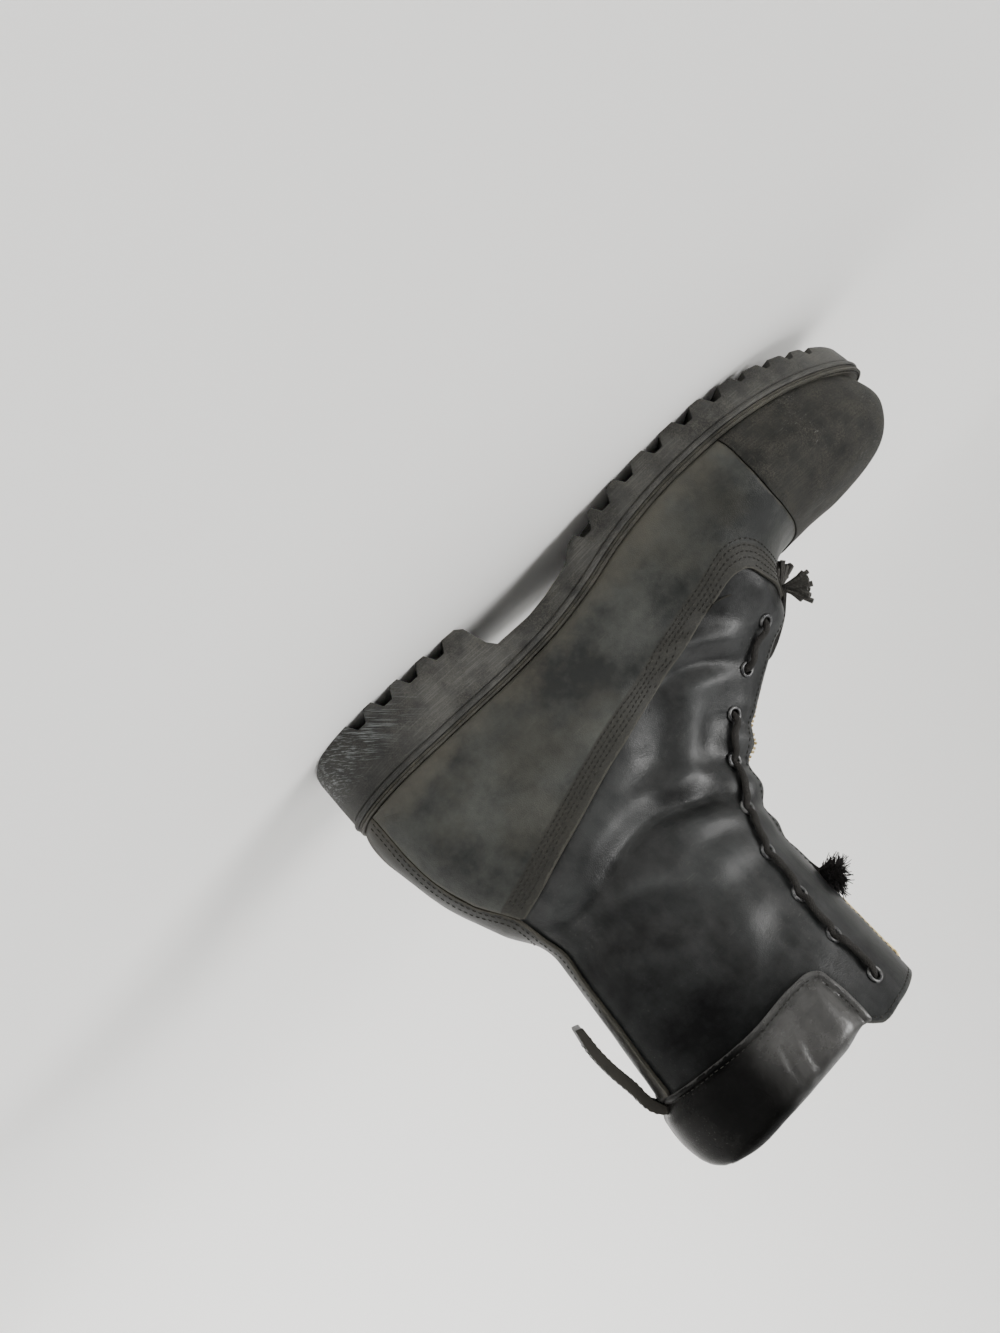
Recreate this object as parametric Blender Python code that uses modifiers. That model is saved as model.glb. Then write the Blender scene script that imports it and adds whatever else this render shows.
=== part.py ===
"""Right-foot leather firefighter boot with a lace-in front zip, standing on its sole.

Toe along +X, medial side along +Y, up along +Z. Tables are in millimetres and the model in metres.
The upper, its overlays, the tongue and the zip panels all come from one surface of the last:
an open skin that is thickened and then cut with slabs drawn in side view.
"""

import math

import bmesh
import bpy
import numpy as np
from mathutils import Matrix, Vector
from mathutils.bvhtree import BVHTree

MM = 0.001
CLEAR = 0.3  # gap between pieces that touch

# Sole
SOLE_BACK = -0.6
SOLE_TIP = 316.3
HEEL_ROUND = 38.0
TOE_ROUND = 76.0
TOE_BLUNT = 2.4
HEEL_BREAST = 88.0
TREAD_DRAFT = 2.0
LIP_PROUD = 0.9
LIP_HEIGHT = 2.4
WELT_THICK = 2.6
WELT_WIDTH = 9.2
WELT_SETBACK = 0.6
INSOLE_THICK = 4.0
INSOLE_GAP = 2.5
LUG_DEPTH = 5.2
NOTCH_FLOOR = 4.6
NOTCH_FLARE = 29.0
NOTCH_REACH = 21.0
CHANNEL_INSET = 19.5
CHANNEL_WIDTH = 5.0
CHANNEL_DEPTH = 4.4
CROSS_GROOVE = 4.0

# Upper
WALL = 2.4
OVERLAY = 1.4
CAP_THICK = 2.1
COLLAR_THICK = 4.2
LOW_COLUMNS = 3
HIGH_COLUMNS = 5
HEEL_END = 4.6
COARSE = (10, 11, 13, 14, 15, 17, 19, 20, 21)  # sections with no row added after them
BACK_FLAT = 7.0
THROAT_HALF = 8.5
TONGUE_THICK = 3.0
TONGUE_HALF = 30.0
PANEL_THICK = 1.6
ZIP_HALF = 1.7
ZIP_PROUD = 1.2
REACH = 90.0  # half width of the cutters

# Fittings
EYELET_RADIUS = 2.9
EYELET_WIRE = 0.75
EYELET_HEIGHT = 0.9
LACE_RADIUS = 2.1
LACE_SAG = 0.6  # what a route loses over an eyelet when it is smoothed
SLIDER_Z = 222.0
SLIDER_SIZE = (3.2, 9.0, 13.0)
SLIDER_SINK = 4.1  # from the front of the last to the slider's back
BRIDGE_HALF = 1.2
BRIDGE_REACH = 3.0
BRIDGE_WALL = 1.1
PULL_LENGTH = 27.0
PULL_WIDTH = 7.0
PULL_THICK = 1.0
PULL_EYE = 9.4
PULL_BAR = 0.5  # half height of the bar that sits in the bridge
STRAP_WIDTH = 18.0

# Half widths of the sole's plan before its two ends are rounded: x, medial, lateral.
PLAN = np.array([
    (-2, 37.0, 38.0),
    (60, 37.5, 38.5),
    (100, 35.0, 40.5),
    (125, 35.5, 44.0),
    (160, 45.5, 52.0),
    (200, 54.5, 58.0),
    (225, 56.0, 56.5),
    (250, 53.0, 51.5),
    (280, 46.0, 44.5),
    (316, 37.0, 37.0),
])

# Side view of the line where the upper meets the welt: x, z.
FEATHER = np.array([
    (-5, 34.2),
    (60, 33.6),
    (95, 32.6),
    (120, 30.4),
    (140, 27.0),
    (160, 22.6),
    (185, 19.6),
    (205, 19.0),
    (235, 20.0),
    (260, 22.6),
    (285, 26.6),
    (305, 30.6),
    (316, 33.0),
])

# Side view of the tread: heel flat on the floor, breast, arch, forefoot flat, toe spring: x, z.
TREAD = np.array([
    (-0.6, 5.5),
    (2, 2.0),
    (8, 0.0),
    (HEEL_BREAST, 0.0),
    (HEEL_BREAST + 5, 17.0),
    (113, 17.0),
    (125, 15.2),
    (139, 12.0),
    (146, 6.5),
    (158, 3.2),
    (170, 1.2),
    (182, 0.0),
    (222, 0.0),
    (238, 1.2),
    (262, 4.5),
    (285, 8.8),
    (303, 13.4),
    (316.3, 18.5),
])

# x of the grooves: notches on both edges, and grooves across the middle.
NOTCHES = [29, 44, 58.5, 73.5, 154, 167, 182, 199, 217, 234, 250, 265, 279, 291]
SMALL_NOTCHES_FROM = 240
CROSS_GROOVES = [34, 50, 66, 176, 196, 216, 236, 256]

# How far the upper stands in from the sole's edge: x, inset.
LEDGE = np.array([
    (-2, 3.6), (25, 2.8), (80, 2.0), (150, 4.0), (230, 4.5), (285, 5.5), (316, 8.5),
])

# Sections of the last, from toe tip over the heel to the collar. Each runs from a bottom point to a top
# point in side view. bottom_z is None where the section stands on the welt. rise is the height of the
# widest point as a share of the section: bottom_x, bottom_z, top_x, top_z, medial, lateral, rise, crown.
SECTIONS = [
    (306.2, None, 308.6, 44.5, 8.6, 8.6, 0.42, 2.4),
    (302.6, None, 307.2, 49.0, 15.6, 15.4, 0.42, 2.4),
    (296.0, None, 303.0, 54.0, 23.8, 23.4, 0.41, 2.4),
    (285.0, None, 293.0, 61.0, 33.0, 32.0, 0.40, 2.4),
    (269.0, None, 275.5, 64.2, 41.8, 40.5, 0.38, 2.3),
    (247.0, None, 249.0, 64.6, 49.5, 48.4, 0.36, 2.2),
    (220.0, None, 225.5, 66.0, 52.5, 54.0, 0.33, 2.0),
    (193.0, None, 211.5, 74.5, 49.6, 53.8, 0.28, 1.9),
    (163.0, None, 203.2, 90.6, 43.6, 49.8, 0.26, 1.9),
    (130.0, None, 191.6, 97.0, 37.5, 44.0, 0.24, 1.9),
    (95.0, None, 180.0, 103.4, 37.0, 41.0, 0.22, 1.9),
    (60.0, None, 169.6, 109.8, 37.5, 39.5, 0.20, 1.9),
    (32.0, None, 160.8, 115.4, 37.5, 39.0, 0.20, 1.9),
    (13.5, None, 156.0, 119.4, 36.8, 38.2, 0.20, 1.9),
    (5.2, None, 154.2, 121.0, 36.2, 37.6, 0.22, 1.9),
    (2.0, 50.0, 152.0, 122.6, 35.6, 37.0, 0.26, 1.9),
    (6.4, 78.0, 148.4, 125.2, 34.6, 36.0, 0.32, 1.9),
    (16.6, 104.0, 144.4, 129.0, 34.4, 35.4, 0.38, 2.0),
    (26.4, 122.0, 140.2, 136.6, 34.4, 35.4, 0.42, 2.0),
    (25.6, 145.0, 133.4, 151.5, 35.5, 36.5, 0.45, 2.1),
    (22.0, 176.0, 131.8, 176.0, 38.0, 39.0, 0.46, 2.2),
    (18.4, 206.0, 131.0, 208.0, 40.0, 41.0, 0.47, 2.2),
    (18.4, 234.0, 130.2, 236.0, 41.0, 42.0, 0.47, 2.2),
]

# Side-view outlines of the panels, in x, z.
CAP_SEAM = [
    (219, 12), (221.5, 25), (221.3, 38), (223, 50), (228.3, 59.5), (234, 64.5), (240, 67.5), (243, 80),
]
QUARTER_SEAM = [
    (26, 107.5), (37, 104.5), (52, 99.5), (69, 94.3), (97, 85.5), (131, 77.2), (158, 69.9),
    (173, 66.6), (191, 64.2), (195, 65.4), (199.5, 72), (205, 80), (209, 95),
]
STAY_SEAM = [
    (9, 28), (8.6, 45), (8.4, 58), (10, 73), (15, 89), (24, 105), (27, 115), (29, 125), (28, 139),
    (24, 162), (20.5, 182), (18.8, 195),
]
COLLAR_EDGE = [
    (-10, 195.2), (30, 197), (60, 198.2), (84, 197), (91.5, 198), (95, 200.8), (96.3, 206), (96.8, 240),
]
RIM = [
    (-10, 217), (13, 220), (16, 226), (20, 230), (28, 231.4), (50, 229.8), (80, 228), (96.8, 228),
    (98.5, 230.4), (112, 231.8), (131, 230.8), (150, 230),
]
THROAT_FLOOR = [(214, 69), (200, 75), (150, 101), (120, 128), (113, 160), (110, 240)]
PANEL_FLOOR = [(206, 70), (160, 85), (128, 100), (108, 128), (104, 160), (104, 240)]
THROAT_FRONT = [(170, 240), (170, 160), (216, 120)]
STRAP_SIDE = [
    (15.0, 195.95), (14.3, 186), (13.0, 176), (12.6, 166), (13.6, 154.5), (11.2, 153.6),
    (9.4, 165), (9.8, 177), (11.3, 188), (11.9, 195.95),
]

# Eyelets of one side, from the throat's foot to the collar: x, z.
EYELETS = [
    (189.7, 86.4), (169, 95.7), (151, 105.8), (136.5, 120.3), (124.8, 137.6), (117.1, 155.9),
    (113.6, 176.2), (111.3, 196.3), (111.8, 217.9),
]

# Free ends of the lace, from inside the throat outwards: x, y, z beside the last, and the height over it.
LACE_ENDS = {
    "lace_end_upper": [
        (133, 5.2, 160, -0.2), (132, 5.2, 168, -0.2), (132, 5.2, 176, 0.4), (132, 5.4, 182, 4),
        (133, 5.6, 186, 9), (133, 6, 188, 16),
    ],
    "lace_end_lower": [
        (181, 5.2, 102, -0.2), (189, 5.2, 98, -0.2), (196, 5.2, 94, 0.2), (203, 5.6, 90, 3),
        (208, 6, 86, 8), (212, 6.6, 84, 15),
    ],
    "lace_end_foot": [
        (190, -5.2, 98, -0.2), (197, -5.2, 93, -0.2), (203, -5.2, 90, 2.2), (209, -5.4, 83, 5),
        (216, -6, 74, 5.4), (223, -7, 69, 5.6),
    ],
}

BLACK_LEATHER = ((0.030, 0.031, 0.032), 0.42, 0.0)
OILED_LEATHER = ((0.062, 0.058, 0.048), 0.62, 0.0)
COLLAR_LEATHER = ((0.020, 0.020, 0.021), 0.30, 0.0)
CAP_RUBBER = ((0.022, 0.022, 0.021), 0.85, 0.0)
SOLE_RUBBER = ((0.045, 0.044, 0.043), 0.70, 0.0)
WELT_FINISH = ((0.050, 0.044, 0.036), 0.65, 0.0)
LINING = ((0.090, 0.085, 0.075), 0.85, 0.0)
LACE_FINISH = ((0.020, 0.017, 0.015), 0.60, 0.0)
BLACK_METAL = ((0.120, 0.120, 0.125), 0.35, 1.0)
BRASS = ((0.640, 0.520, 0.280), 0.35, 1.0)


def clear_scene():
    for obj in list(bpy.data.objects):
        bpy.data.objects.remove(obj, do_unlink=True)


def smooth(table, x, column=1):
    """A table's column at x, along a curve with no corners through its rows."""
    xs = table[:, 0]
    ys = table[:, column]
    slopes = np.gradient(ys, xs)
    x = min(max(x, xs[0]), xs[-1])
    k = int(np.clip(np.searchsorted(xs, x) - 1, 0, len(xs) - 2))
    span = xs[k + 1] - xs[k]
    t = (x - xs[k]) / span
    near = (1 + 2 * t) * (1 - t) ** 2 * ys[k] + t * (1 - t) ** 2 * span * slopes[k]
    far = t * t * (3 - 2 * t) * ys[k + 1] - t * t * (1 - t) * span * slopes[k + 1]
    return near + far


def feather_z(x):
    return smooth(FEATHER, x)


def tread_z(x):
    return float(np.interp(x, TREAD[:, 0], TREAD[:, 1]))


def ledge(x):
    return float(np.interp(x, LEDGE[:, 0], LEDGE[:, 1]))


def plan_half(x, column):
    """Half width of the sole at x: column 1 is medial, 2 lateral."""
    heel = max(0.0, (SOLE_BACK + HEEL_ROUND - x) / HEEL_ROUND)
    toe = max(0.0, (x - SOLE_TIP + TOE_ROUND) / TOE_ROUND)
    rounding = math.sqrt(max(0.0, 1 - heel ** 2)) * max(0.0, 1 - toe ** TOE_BLUNT) ** (1 / TOE_BLUNT)
    return smooth(PLAN, x, column) * rounding


def plan_stations():
    """x of the plan's points from toe to heel: closer at the round ends, one at each break of the tread."""
    toe_start = SOLE_TIP - TOE_ROUND
    toe = [toe_start + TOE_ROUND * math.cos(math.radians(a)) for a in (0, 12, 24, 36, 48, 60, 72)]
    heel = [SOLE_BACK + HEEL_ROUND * (1 - math.sin(math.radians(a))) for a in (0, 18, 36, 54, 72, 90)]
    middle = [x for x in TREAD[:, 0] if SOLE_BACK + HEEL_ROUND + 4 < x < toe_start - 4]
    middle += [62, 101, 200]
    return toe + sorted(middle + [toe_start], reverse=True) + heel


STATIONS = plan_stations()


def outline(inset):
    """The plan's closed loop of (x, y), set in along its normal by a number or by a function of x."""
    loop = []
    for column, sign, stations in ((1, 1, STATIONS), (2, -1, STATIONS[-2:0:-1])):
        for x in stations:
            y = sign * plan_half(x, column)
            loop.append((x, y))
    points = np.array(loop)
    ahead = np.roll(points, -1, axis=0) - points
    behind = points - np.roll(points, 1, axis=0)
    ahead /= np.linalg.norm(ahead, axis=1)[:, None]
    behind /= np.linalg.norm(behind, axis=1)[:, None]
    tangent = ahead + behind
    tangent /= np.linalg.norm(tangent, axis=1)[:, None]
    outward = np.stack([tangent[:, 1], -tangent[:, 0]], axis=1)
    distance = np.array([inset(x) if callable(inset) else inset for x in points[:, 0]])
    return points - outward * distance[:, None]


def feather_half(x, column):
    """Half width of the upper where it stands on the welt."""
    loop = outline(ledge)
    count = len(STATIONS)
    if column == 1:
        side = loop[:count]
    else:
        side = np.concatenate([loop[:1], loop[:count - 1:-1], loop[count - 1:count]])
    order = np.argsort(side[:, 0])
    return float(np.interp(x, side[order, 0], np.abs(side[order, 1]), left=0.0, right=0.0))


def material(name, finish):
    colour, roughness, metallic = finish
    made = bpy.data.materials.new(name)
    made.use_nodes = True
    shader = made.node_tree.nodes["Principled BSDF"]
    shader.inputs["Base Color"].default_value = (*colour, 1.0)
    shader.inputs["Roughness"].default_value = roughness
    shader.inputs["Metallic"].default_value = metallic
    return made


def add_object(name, mesh, finish=None, cutter=False):
    obj = bpy.data.objects.new(name, mesh)
    bpy.data.collections["cutters" if cutter else "firefighter_boot"].objects.link(obj)
    obj.parent = bpy.data.objects["boot_frame"]
    if cutter:
        obj.hide_render = True
        obj.display_type = "WIRE"
    if finish:
        obj.data.materials.append(material(name, finish))
    return obj


def mesh_of(name, points, faces, merge=1e-5):
    """A mesh from points in millimetres, with its doubles merged and its faces turned outwards."""
    work = bmesh.new()
    verts = [work.verts.new(Vector(p) * MM) for p in points]
    for face in faces:
        if len(set(face)) > 2:
            work.faces.new([verts[i] for i in face])
    bmesh.ops.remove_doubles(work, verts=work.verts, dist=merge)
    bmesh.ops.dissolve_degenerate(work, edges=work.edges, dist=merge)
    bmesh.ops.recalc_face_normals(work, faces=work.faces)
    mesh = bpy.data.meshes.new(name)
    work.to_mesh(mesh)
    work.free()
    return mesh


def ring_solid(name, rings, hole=False):
    """A solid through closed rings of equal count. The end rings are closed by rungs from side to side,
    or, with hole, joined to each other so that the solid is itself a ring."""
    count = len(rings[0])
    points = [p for ring in rings for p in ring]
    faces = []
    layers = len(rings)
    for k in range(layers if hole else layers - 1):
        low = k * count
        high = (k + 1) % layers * count
        for i in range(count):
            j = (i + 1) % count
            faces.append((low + i, low + j, high + j, high + i))
    if not hole:
        for base in (0, (layers - 1) * count):
            for i in range(count // 2):
                left, right = base + i, base + (count - i) % count
                next_left, next_right = base + i + 1, base + (count - i - 1) % count
                face = []
                for index in (left, next_left, next_right, right):
                    if index not in face:
                        face.append(index)
                if len(face) > 2:
                    faces.append(tuple(face))
    return mesh_of(name, points, faces)


def ring(inset, height):
    """Plan loop at an inset, with its height a function of x."""
    return [(x, y, height(x)) for x, y in outline(inset)]


def slab(name, side_outline, low, high):
    """A cutter: a side-view outline carried from y = low to y = high."""
    count = len(side_outline)
    points = [(x, y, z) for y in (low, high) for x, z in side_outline]
    faces = [tuple(range(count)), tuple(range(2 * count - 1, count - 1, -1))]
    faces += [(i, (i + 1) % count, count + (i + 1) % count, count + i) for i in range(count)]
    return add_object(name, mesh_of(name, points, faces), cutter=True)


def cut(obj, cutter, operation="DIFFERENCE"):
    modifier = obj.modifiers.new(f"{operation.lower()} {cutter.name}", "BOOLEAN")
    modifier.operation = operation
    modifier.solver = "EXACT"
    modifier.object = cutter


def section_rows():
    """The table's sections with the feather's heights and half widths, and a row between each two."""
    rows = []
    for bottom_x, bottom_z, top_x, top_z, medial, lateral, rise, crown in SECTIONS:
        seated = bottom_z is None
        low = feather_z(bottom_x) if seated else bottom_z
        foot = [feather_half(bottom_x, c) if seated else -BACK_FLAT for c in (1, 2)]
        rows.append([bottom_x, low, top_x, top_z, medial, lateral, rise, crown, *foot])
    table = np.array(rows)
    index = np.arange(len(table), dtype=float)
    halves = [k + 0.5 for k in index[4:-1] if k not in COARSE]
    samples = sorted([*index, *halves])
    slopes = np.gradient(table, axis=0)
    result = []
    for s in samples:
        k = min(int(s), len(table) - 2)
        t = s - k
        row = (1 + 2 * t) * (1 - t) ** 2 * table[k] + t * (1 - t) ** 2 * slopes[k]
        row = row + t * t * (3 - 2 * t) * table[k + 1] - t * t * (1 - t) * slopes[k + 1]
        result.append(row)
    return seat_rows(np.array(result))


def seat_rows(rows):
    """Rows on the welt keep exactly to its line and width. Those above the heel share a flat down the back."""
    for row in rows:
        if row[0] > HEEL_END and row[8] > 0:
            row[1] = feather_z(row[0])
            row[8] = feather_half(row[0], 1)
            row[9] = feather_half(row[0], 2)
        else:
            row[8] = row[9] = BACK_FLAT
    return rows


def section_points(row, column):
    """One side of a section from its bottom edge to its ridge, as (share of the height, half width)."""
    widest, foot, rise, crown = row[3 + column], row[7 + column], row[6], row[7]
    points = []
    for i in range(LOW_COLUMNS):
        climb = (i / LOW_COLUMNS) ** 1.25
        points.append((rise * climb, foot + (widest - foot) * math.sqrt(1 - (1 - climb) ** 2)))
    for i in range(HIGH_COLUMNS):
        angle = math.radians(90 * i / HIGH_COLUMNS)
        height = math.sin(angle) ** (2 / crown)
        width = math.cos(angle) ** (2 / crown)
        points.append((rise + (1 - rise) * height, widest * width))
    points.append((1.0, 0.0))
    return points


def last_surface():
    """The outside of the last as an open skin. Each section runs from the medial feather over the ridge to
    the lateral one; rungs close the toe and the flat down the back."""
    points = []
    rows = section_rows()
    for row in rows:
        low_x, low_z, top_x, top_z = row[:4]
        medial = section_points(row, 1)
        lateral = section_points(row, 2)
        for side, shares in ((1, medial), (-1, lateral[-2::-1])):
            for share, half in shares:
                points.append((low_x + (top_x - low_x) * share, side * half, low_z + (top_z - low_z) * share))
    width = 2 * (LOW_COLUMNS + HIGH_COLUMNS) + 1
    quads = []
    for k in range(len(rows) - 1):
        start = k * width
        for i in range(width - 1):
            quads.append((start + i, start + i + 1, start + width + i + 1, start + width + i))
        if rows[k + 1][8] == BACK_FLAT:
            quads.append((start + width - 1, start, start + width, start + 2 * width - 1))
    for i in range(width // 2):
        quads.append((i + 1, i, width - 1 - i, width - 2 - i))
    faces = []
    for a, b, c, d in quads:
        faces += [(a, b, c), (a, c, d)]
    mesh = mesh_of("last", points, faces)
    if mesh.polygons[len(mesh.polygons) // 2].normal.dot(mesh.polygons[len(mesh.polygons) // 2].center) < 0:
        mesh.flip_normals()
    return mesh


def skin(name, last, lift, thick, finish):
    """A layer of the boot: the last's skin lifted along its normals. Its thickness goes outwards on a layer
    that lies over the last, and inwards on one at or under it."""
    mesh = last.copy()
    mesh.name = name
    normals = [v.normal.copy() for v in mesh.vertices]
    for vertex, normal in zip(mesh.vertices, normals):
        vertex.co += normal * lift * MM
    obj = add_object(name, mesh, finish)
    solid = obj.modifiers.new("thickness", "SOLIDIFY")
    solid.thickness = thick * MM
    solid.offset = 1.0 if lift > 0 else -1.0
    return obj


def feather_run(start, end, lift, steps=14):
    """Side-view points just over the welt, from one x to another."""
    return [(x, feather_z(x) + lift) for x in np.linspace(start, end, steps)]


def moved(points, dx):
    """Side-view points shifted along x."""
    return [(x + dx, z) for x, z in points]


def make_upper(last):
    """The hollow leather upper, open at the throat, along the rim and underneath."""
    upper = skin("upper", last, 0.0, WALL, BLACK_LEATHER)
    cut(upper, slab("throat_slot", THROAT_FLOOR + THROAT_FRONT, -THROAT_HALF, THROAT_HALF))
    below = feather_run(-20, 45, 0.05, 4) + [(45, 0), (-20, 0)]
    cut(upper, slab("heel_seat", below, -REACH, REACH))
    cut(upper, bpy.data.objects["above_rim"])


def make_overlays(last):
    """Vamp with counter, toe cap, back stay and collar, each a skin cut to its side-view outline."""
    above = CLEAR + 0.1
    seam_low = CAP_SEAM[0][0]
    cap = skin("toe_cap", last, CLEAR, CAP_THICK, CAP_RUBBER)
    cap_side = feather_run(340, seam_low, above) + CAP_SEAM[1:] + [(340, 80)]
    cut(cap, slab("toe_cap_outline", cap_side, -REACH, REACH), "INTERSECT")

    vamp = skin("vamp", last, CLEAR, OVERLAY, OILED_LEATHER)
    vamp_side = feather_run(seam_low - 0.4, STAY_SEAM[0][0] + 0.4, above) + moved(STAY_SEAM[1:5], 0.4)
    vamp_side += QUARTER_SEAM + [(CAP_SEAM[-1][0] - 0.4, 95)] + moved(CAP_SEAM[:0:-1], -0.4)
    cut(vamp, slab("vamp_outline", vamp_side, -REACH, REACH), "INTERSECT")

    stay = skin("back_stay", last, CLEAR, OVERLAY, BLACK_LEATHER)
    stay_side = feather_run(-12, STAY_SEAM[0][0], above, 4) + STAY_SEAM[1:] + [(-12, STAY_SEAM[-1][1])]
    cut(stay, slab("back_stay_outline", stay_side, -REACH, REACH), "INTERSECT")

    collar = skin("collar", last, CLEAR, COLLAR_THICK, COLLAR_LEATHER)
    collar_side = COLLAR_EDGE + [(-10, 240)]
    cut(collar, slab("collar_outline", collar_side, -REACH, REACH), "INTERSECT")
    cut(collar, bpy.data.objects["above_rim"])


def make_throat(last):
    """Tongue, the two leather panels of the zip insert and the closed zip between them."""
    panel_top = -WALL - CLEAR
    above_rim = bpy.data.objects["above_rim"]
    wide, tall = (size / 2 + CLEAR for size in SLIDER_SIZE[1:])
    seat = [(100, SLIDER_Z - tall), (140, SLIDER_Z - tall), (140, SLIDER_Z + tall), (100, SLIDER_Z + tall)]
    slider_seat = slab("slider_seat", seat, -wide, wide)

    tongue = skin("tongue", last, panel_top - PANEL_THICK - CLEAR, TONGUE_THICK, LINING)
    front = PANEL_FLOOR + THROAT_FRONT
    cut(tongue, slab("tongue_outline", front, -TONGUE_HALF, TONGUE_HALF), "INTERSECT")
    cut(tongue, above_rim)
    for side, low, high in (("medial", ZIP_HALF + CLEAR, 60), ("lateral", -60, -ZIP_HALF - CLEAR)):
        panel = skin(f"zip_panel_{side}", last, panel_top, PANEL_THICK, BLACK_LEATHER)
        cut(panel, slab(f"zip_panel_{side}_outline", front, low, high), "INTERSECT")
        cut(panel, above_rim)
        cut(panel, slider_seat)
    chain = skin("zip_chain", last, panel_top + ZIP_PROUD, PANEL_THICK + ZIP_PROUD, BRASS)
    chain_side = THROAT_FLOOR[:-1] + [(110, SLIDER_Z - tall), (170, SLIDER_Z - tall)] + THROAT_FRONT[1:]
    cut(chain, slab("zip_chain_outline", chain_side, -ZIP_HALF, ZIP_HALF), "INTERSECT")


def make_sole():
    """Outsole with its rebate for the welt, the welt and the insole."""
    def seat(x):
        return feather_z(x) - WELT_THICK - 2 * CLEAR

    inner = WELT_SETBACK + WELT_WIDTH
    rings = [
        ring(TREAD_DRAFT, tread_z),
        ring(LIP_PROUD, lambda x: seat(x) - LIP_HEIGHT),
        ring(0.0, lambda x: seat(x) - LIP_HEIGHT + 0.5),
        ring(0.0, seat),
        ring(inner + CLEAR, seat),
        ring(inner + CLEAR, lambda x: feather_z(x) - CLEAR),
    ]
    outsole = add_object("outsole", ring_solid("outsole", rings), SOLE_RUBBER)
    cut(outsole, side_notches())
    cut(outsole, channel("heel_channel", 12, 81))
    cut(outsole, channel("forefoot_channel", 160, 300))
    cut(outsole, cross_grooves())

    low = seat(0) - feather_z(0) + CLEAR
    strip = [(WELT_SETBACK, low), (inner, low), (inner, -CLEAR), (WELT_SETBACK, -CLEAR)]
    welt_rings = [ring(inset, lambda x, up=up: feather_z(x) + up) for inset, up in strip]
    add_object("welt", ring_solid("welt", welt_rings, hole=True), WELT_FINISH)

    def insole_inset(x):
        return ledge(x) + WALL + INSOLE_GAP

    footbed = [ring(insole_inset, lambda x, up=up: feather_z(x) + up) for up in (0.0, INSOLE_THICK)]
    add_object("insole", ring_solid("insole", footbed), LINING)


def side_lines():
    """The sole's edge on the medial and the lateral side, each as points in the order of x."""
    loop = outline(0.0)
    count = len(STATIONS)
    medial = loop[:count]
    lateral = np.concatenate([loop[:1], loop[:count - 1:-1], loop[count - 1:count]])
    return [side[np.argsort(side[:, 0])] for side in (medial, lateral)]


def groove_profile(floor_half, floor, depth):
    """Trapezoid of a groove, flared towards the floor: offset along the edge, z."""
    mouth = floor - depth - 2
    mouth_half = floor_half + (depth + 2) * math.tan(math.radians(NOTCH_FLARE))
    return [(-floor_half, floor), (floor_half, floor), (mouth_half, mouth), (-mouth_half, mouth)]


def bars(name, ends):
    """A cutter of several straight bars, each between two end quads given in millimetres."""
    points = [p for near, far in ends for p in (*near, *far)]
    quads = [(0, 1, 2, 3), (7, 6, 5, 4), (0, 4, 5, 1), (1, 5, 6, 2), (2, 6, 7, 3), (3, 7, 4, 0)]
    faces = [tuple(8 * k + i for i in quad) for k in range(len(ends)) for quad in quads]
    return add_object(name, mesh_of(name, points, faces, merge=1e-9), cutter=True)


def side_notches():
    """Flared notches square to the edge, which part the side lugs. Those round the toe are smaller."""
    ends = []
    for side in side_lines():
        for x in NOTCHES:
            near_x = (x - 3, x, x + 3)
            before, y, after = np.interp(near_x, side[:, 0], side[:, 1])
            along = Vector((6, after - before, 0)).normalized()
            inward = Vector((along.y, -along.x, 0))
            if inward.y * y > 0:
                inward = -inward
            scale = 0.7 if x > SMALL_NOTCHES_FROM else 1.0
            depth = LUG_DEPTH * scale
            profile = groove_profile(NOTCH_FLOOR * scale / 2, tread_z(x) + depth, depth)
            edge = Vector((x, y, 0))
            places = (edge - inward * 4, edge + inward * NOTCH_REACH)
            ends.append([[place + along * a + Vector((0, 0, z)) for a, z in profile] for place in places])
    return bars("side_notches", ends)


def channel(name, low_x, high_x):
    """A groove of even width that runs inside the side lugs, over one stretch of the sole."""
    lines = []
    for inset in (CHANNEL_INSET, CHANNEL_INSET + CHANNEL_WIDTH):
        loop = outline(inset)
        if high_x > 200:
            loop = np.roll(loop, len(STATIONS) - 2, axis=0)
        lines.append(loop)
    rings = []
    for outer, inner in zip(*lines):
        if low_x <= outer[0] <= high_x:
            top = tread_z(outer[0]) + CHANNEL_DEPTH
            corners = ((outer, top), (inner, top), (inner, top - 12), (outer, top - 12))
            rings.append([(x, y, z) for (x, y), z in corners])
    return add_object(name, ring_solid(name, rings), cutter=True)


def cross_grooves():
    """Straight grooves between the two runs of the channel, which part the middle bars."""
    inset = CHANNEL_INSET + CHANNEL_WIDTH / 2
    ends = []
    for x in CROSS_GROOVES:
        profile = groove_profile(CROSS_GROOVE / 2, tread_z(x) + CHANNEL_DEPTH, CHANNEL_DEPTH)
        reach = (inset - plan_half(x, 2), plan_half(x, 1) - inset)
        ends.append([[(x + a, y, z) for a, z in profile] for y in reach])
    return bars("cross_grooves", ends)


def surface_point(tree, x, z, side, lift):
    """The point over (x, z) of the last's side, lifted along its normal, and that normal."""
    start = Vector((x, side * 120, z)) * MM
    place, normal, _, _ = tree.ray_cast(start, Vector((0, -side, 0)))
    if normal.y * side < 0:
        normal = -normal
    return place + normal * lift * MM, normal


def eyelet_seat(tree, x, z, side, lift):
    """Place and normal of an eyelet over (x, z), lifted from where its rim rests on the last's side."""
    rim = []
    for turn in np.linspace(0, 2 * math.pi, 8, endpoint=False):
        reach = EYELET_RADIUS + EYELET_WIRE
        rim.append(surface_point(tree, x + reach * math.cos(turn), z + reach * math.sin(turn), side, 0)[0])
    centre = sum(rim, Vector()) / len(rim)
    normal = sum(((a - centre).cross(b - centre) for a, b in zip(rim, rim[1:] + rim[:1])), Vector()).normalized()
    if normal.y * side < 0:
        normal = -normal
    highest = max((p - centre).dot(normal) for p in rim)
    return centre + normal * (highest + lift * MM), normal


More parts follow.
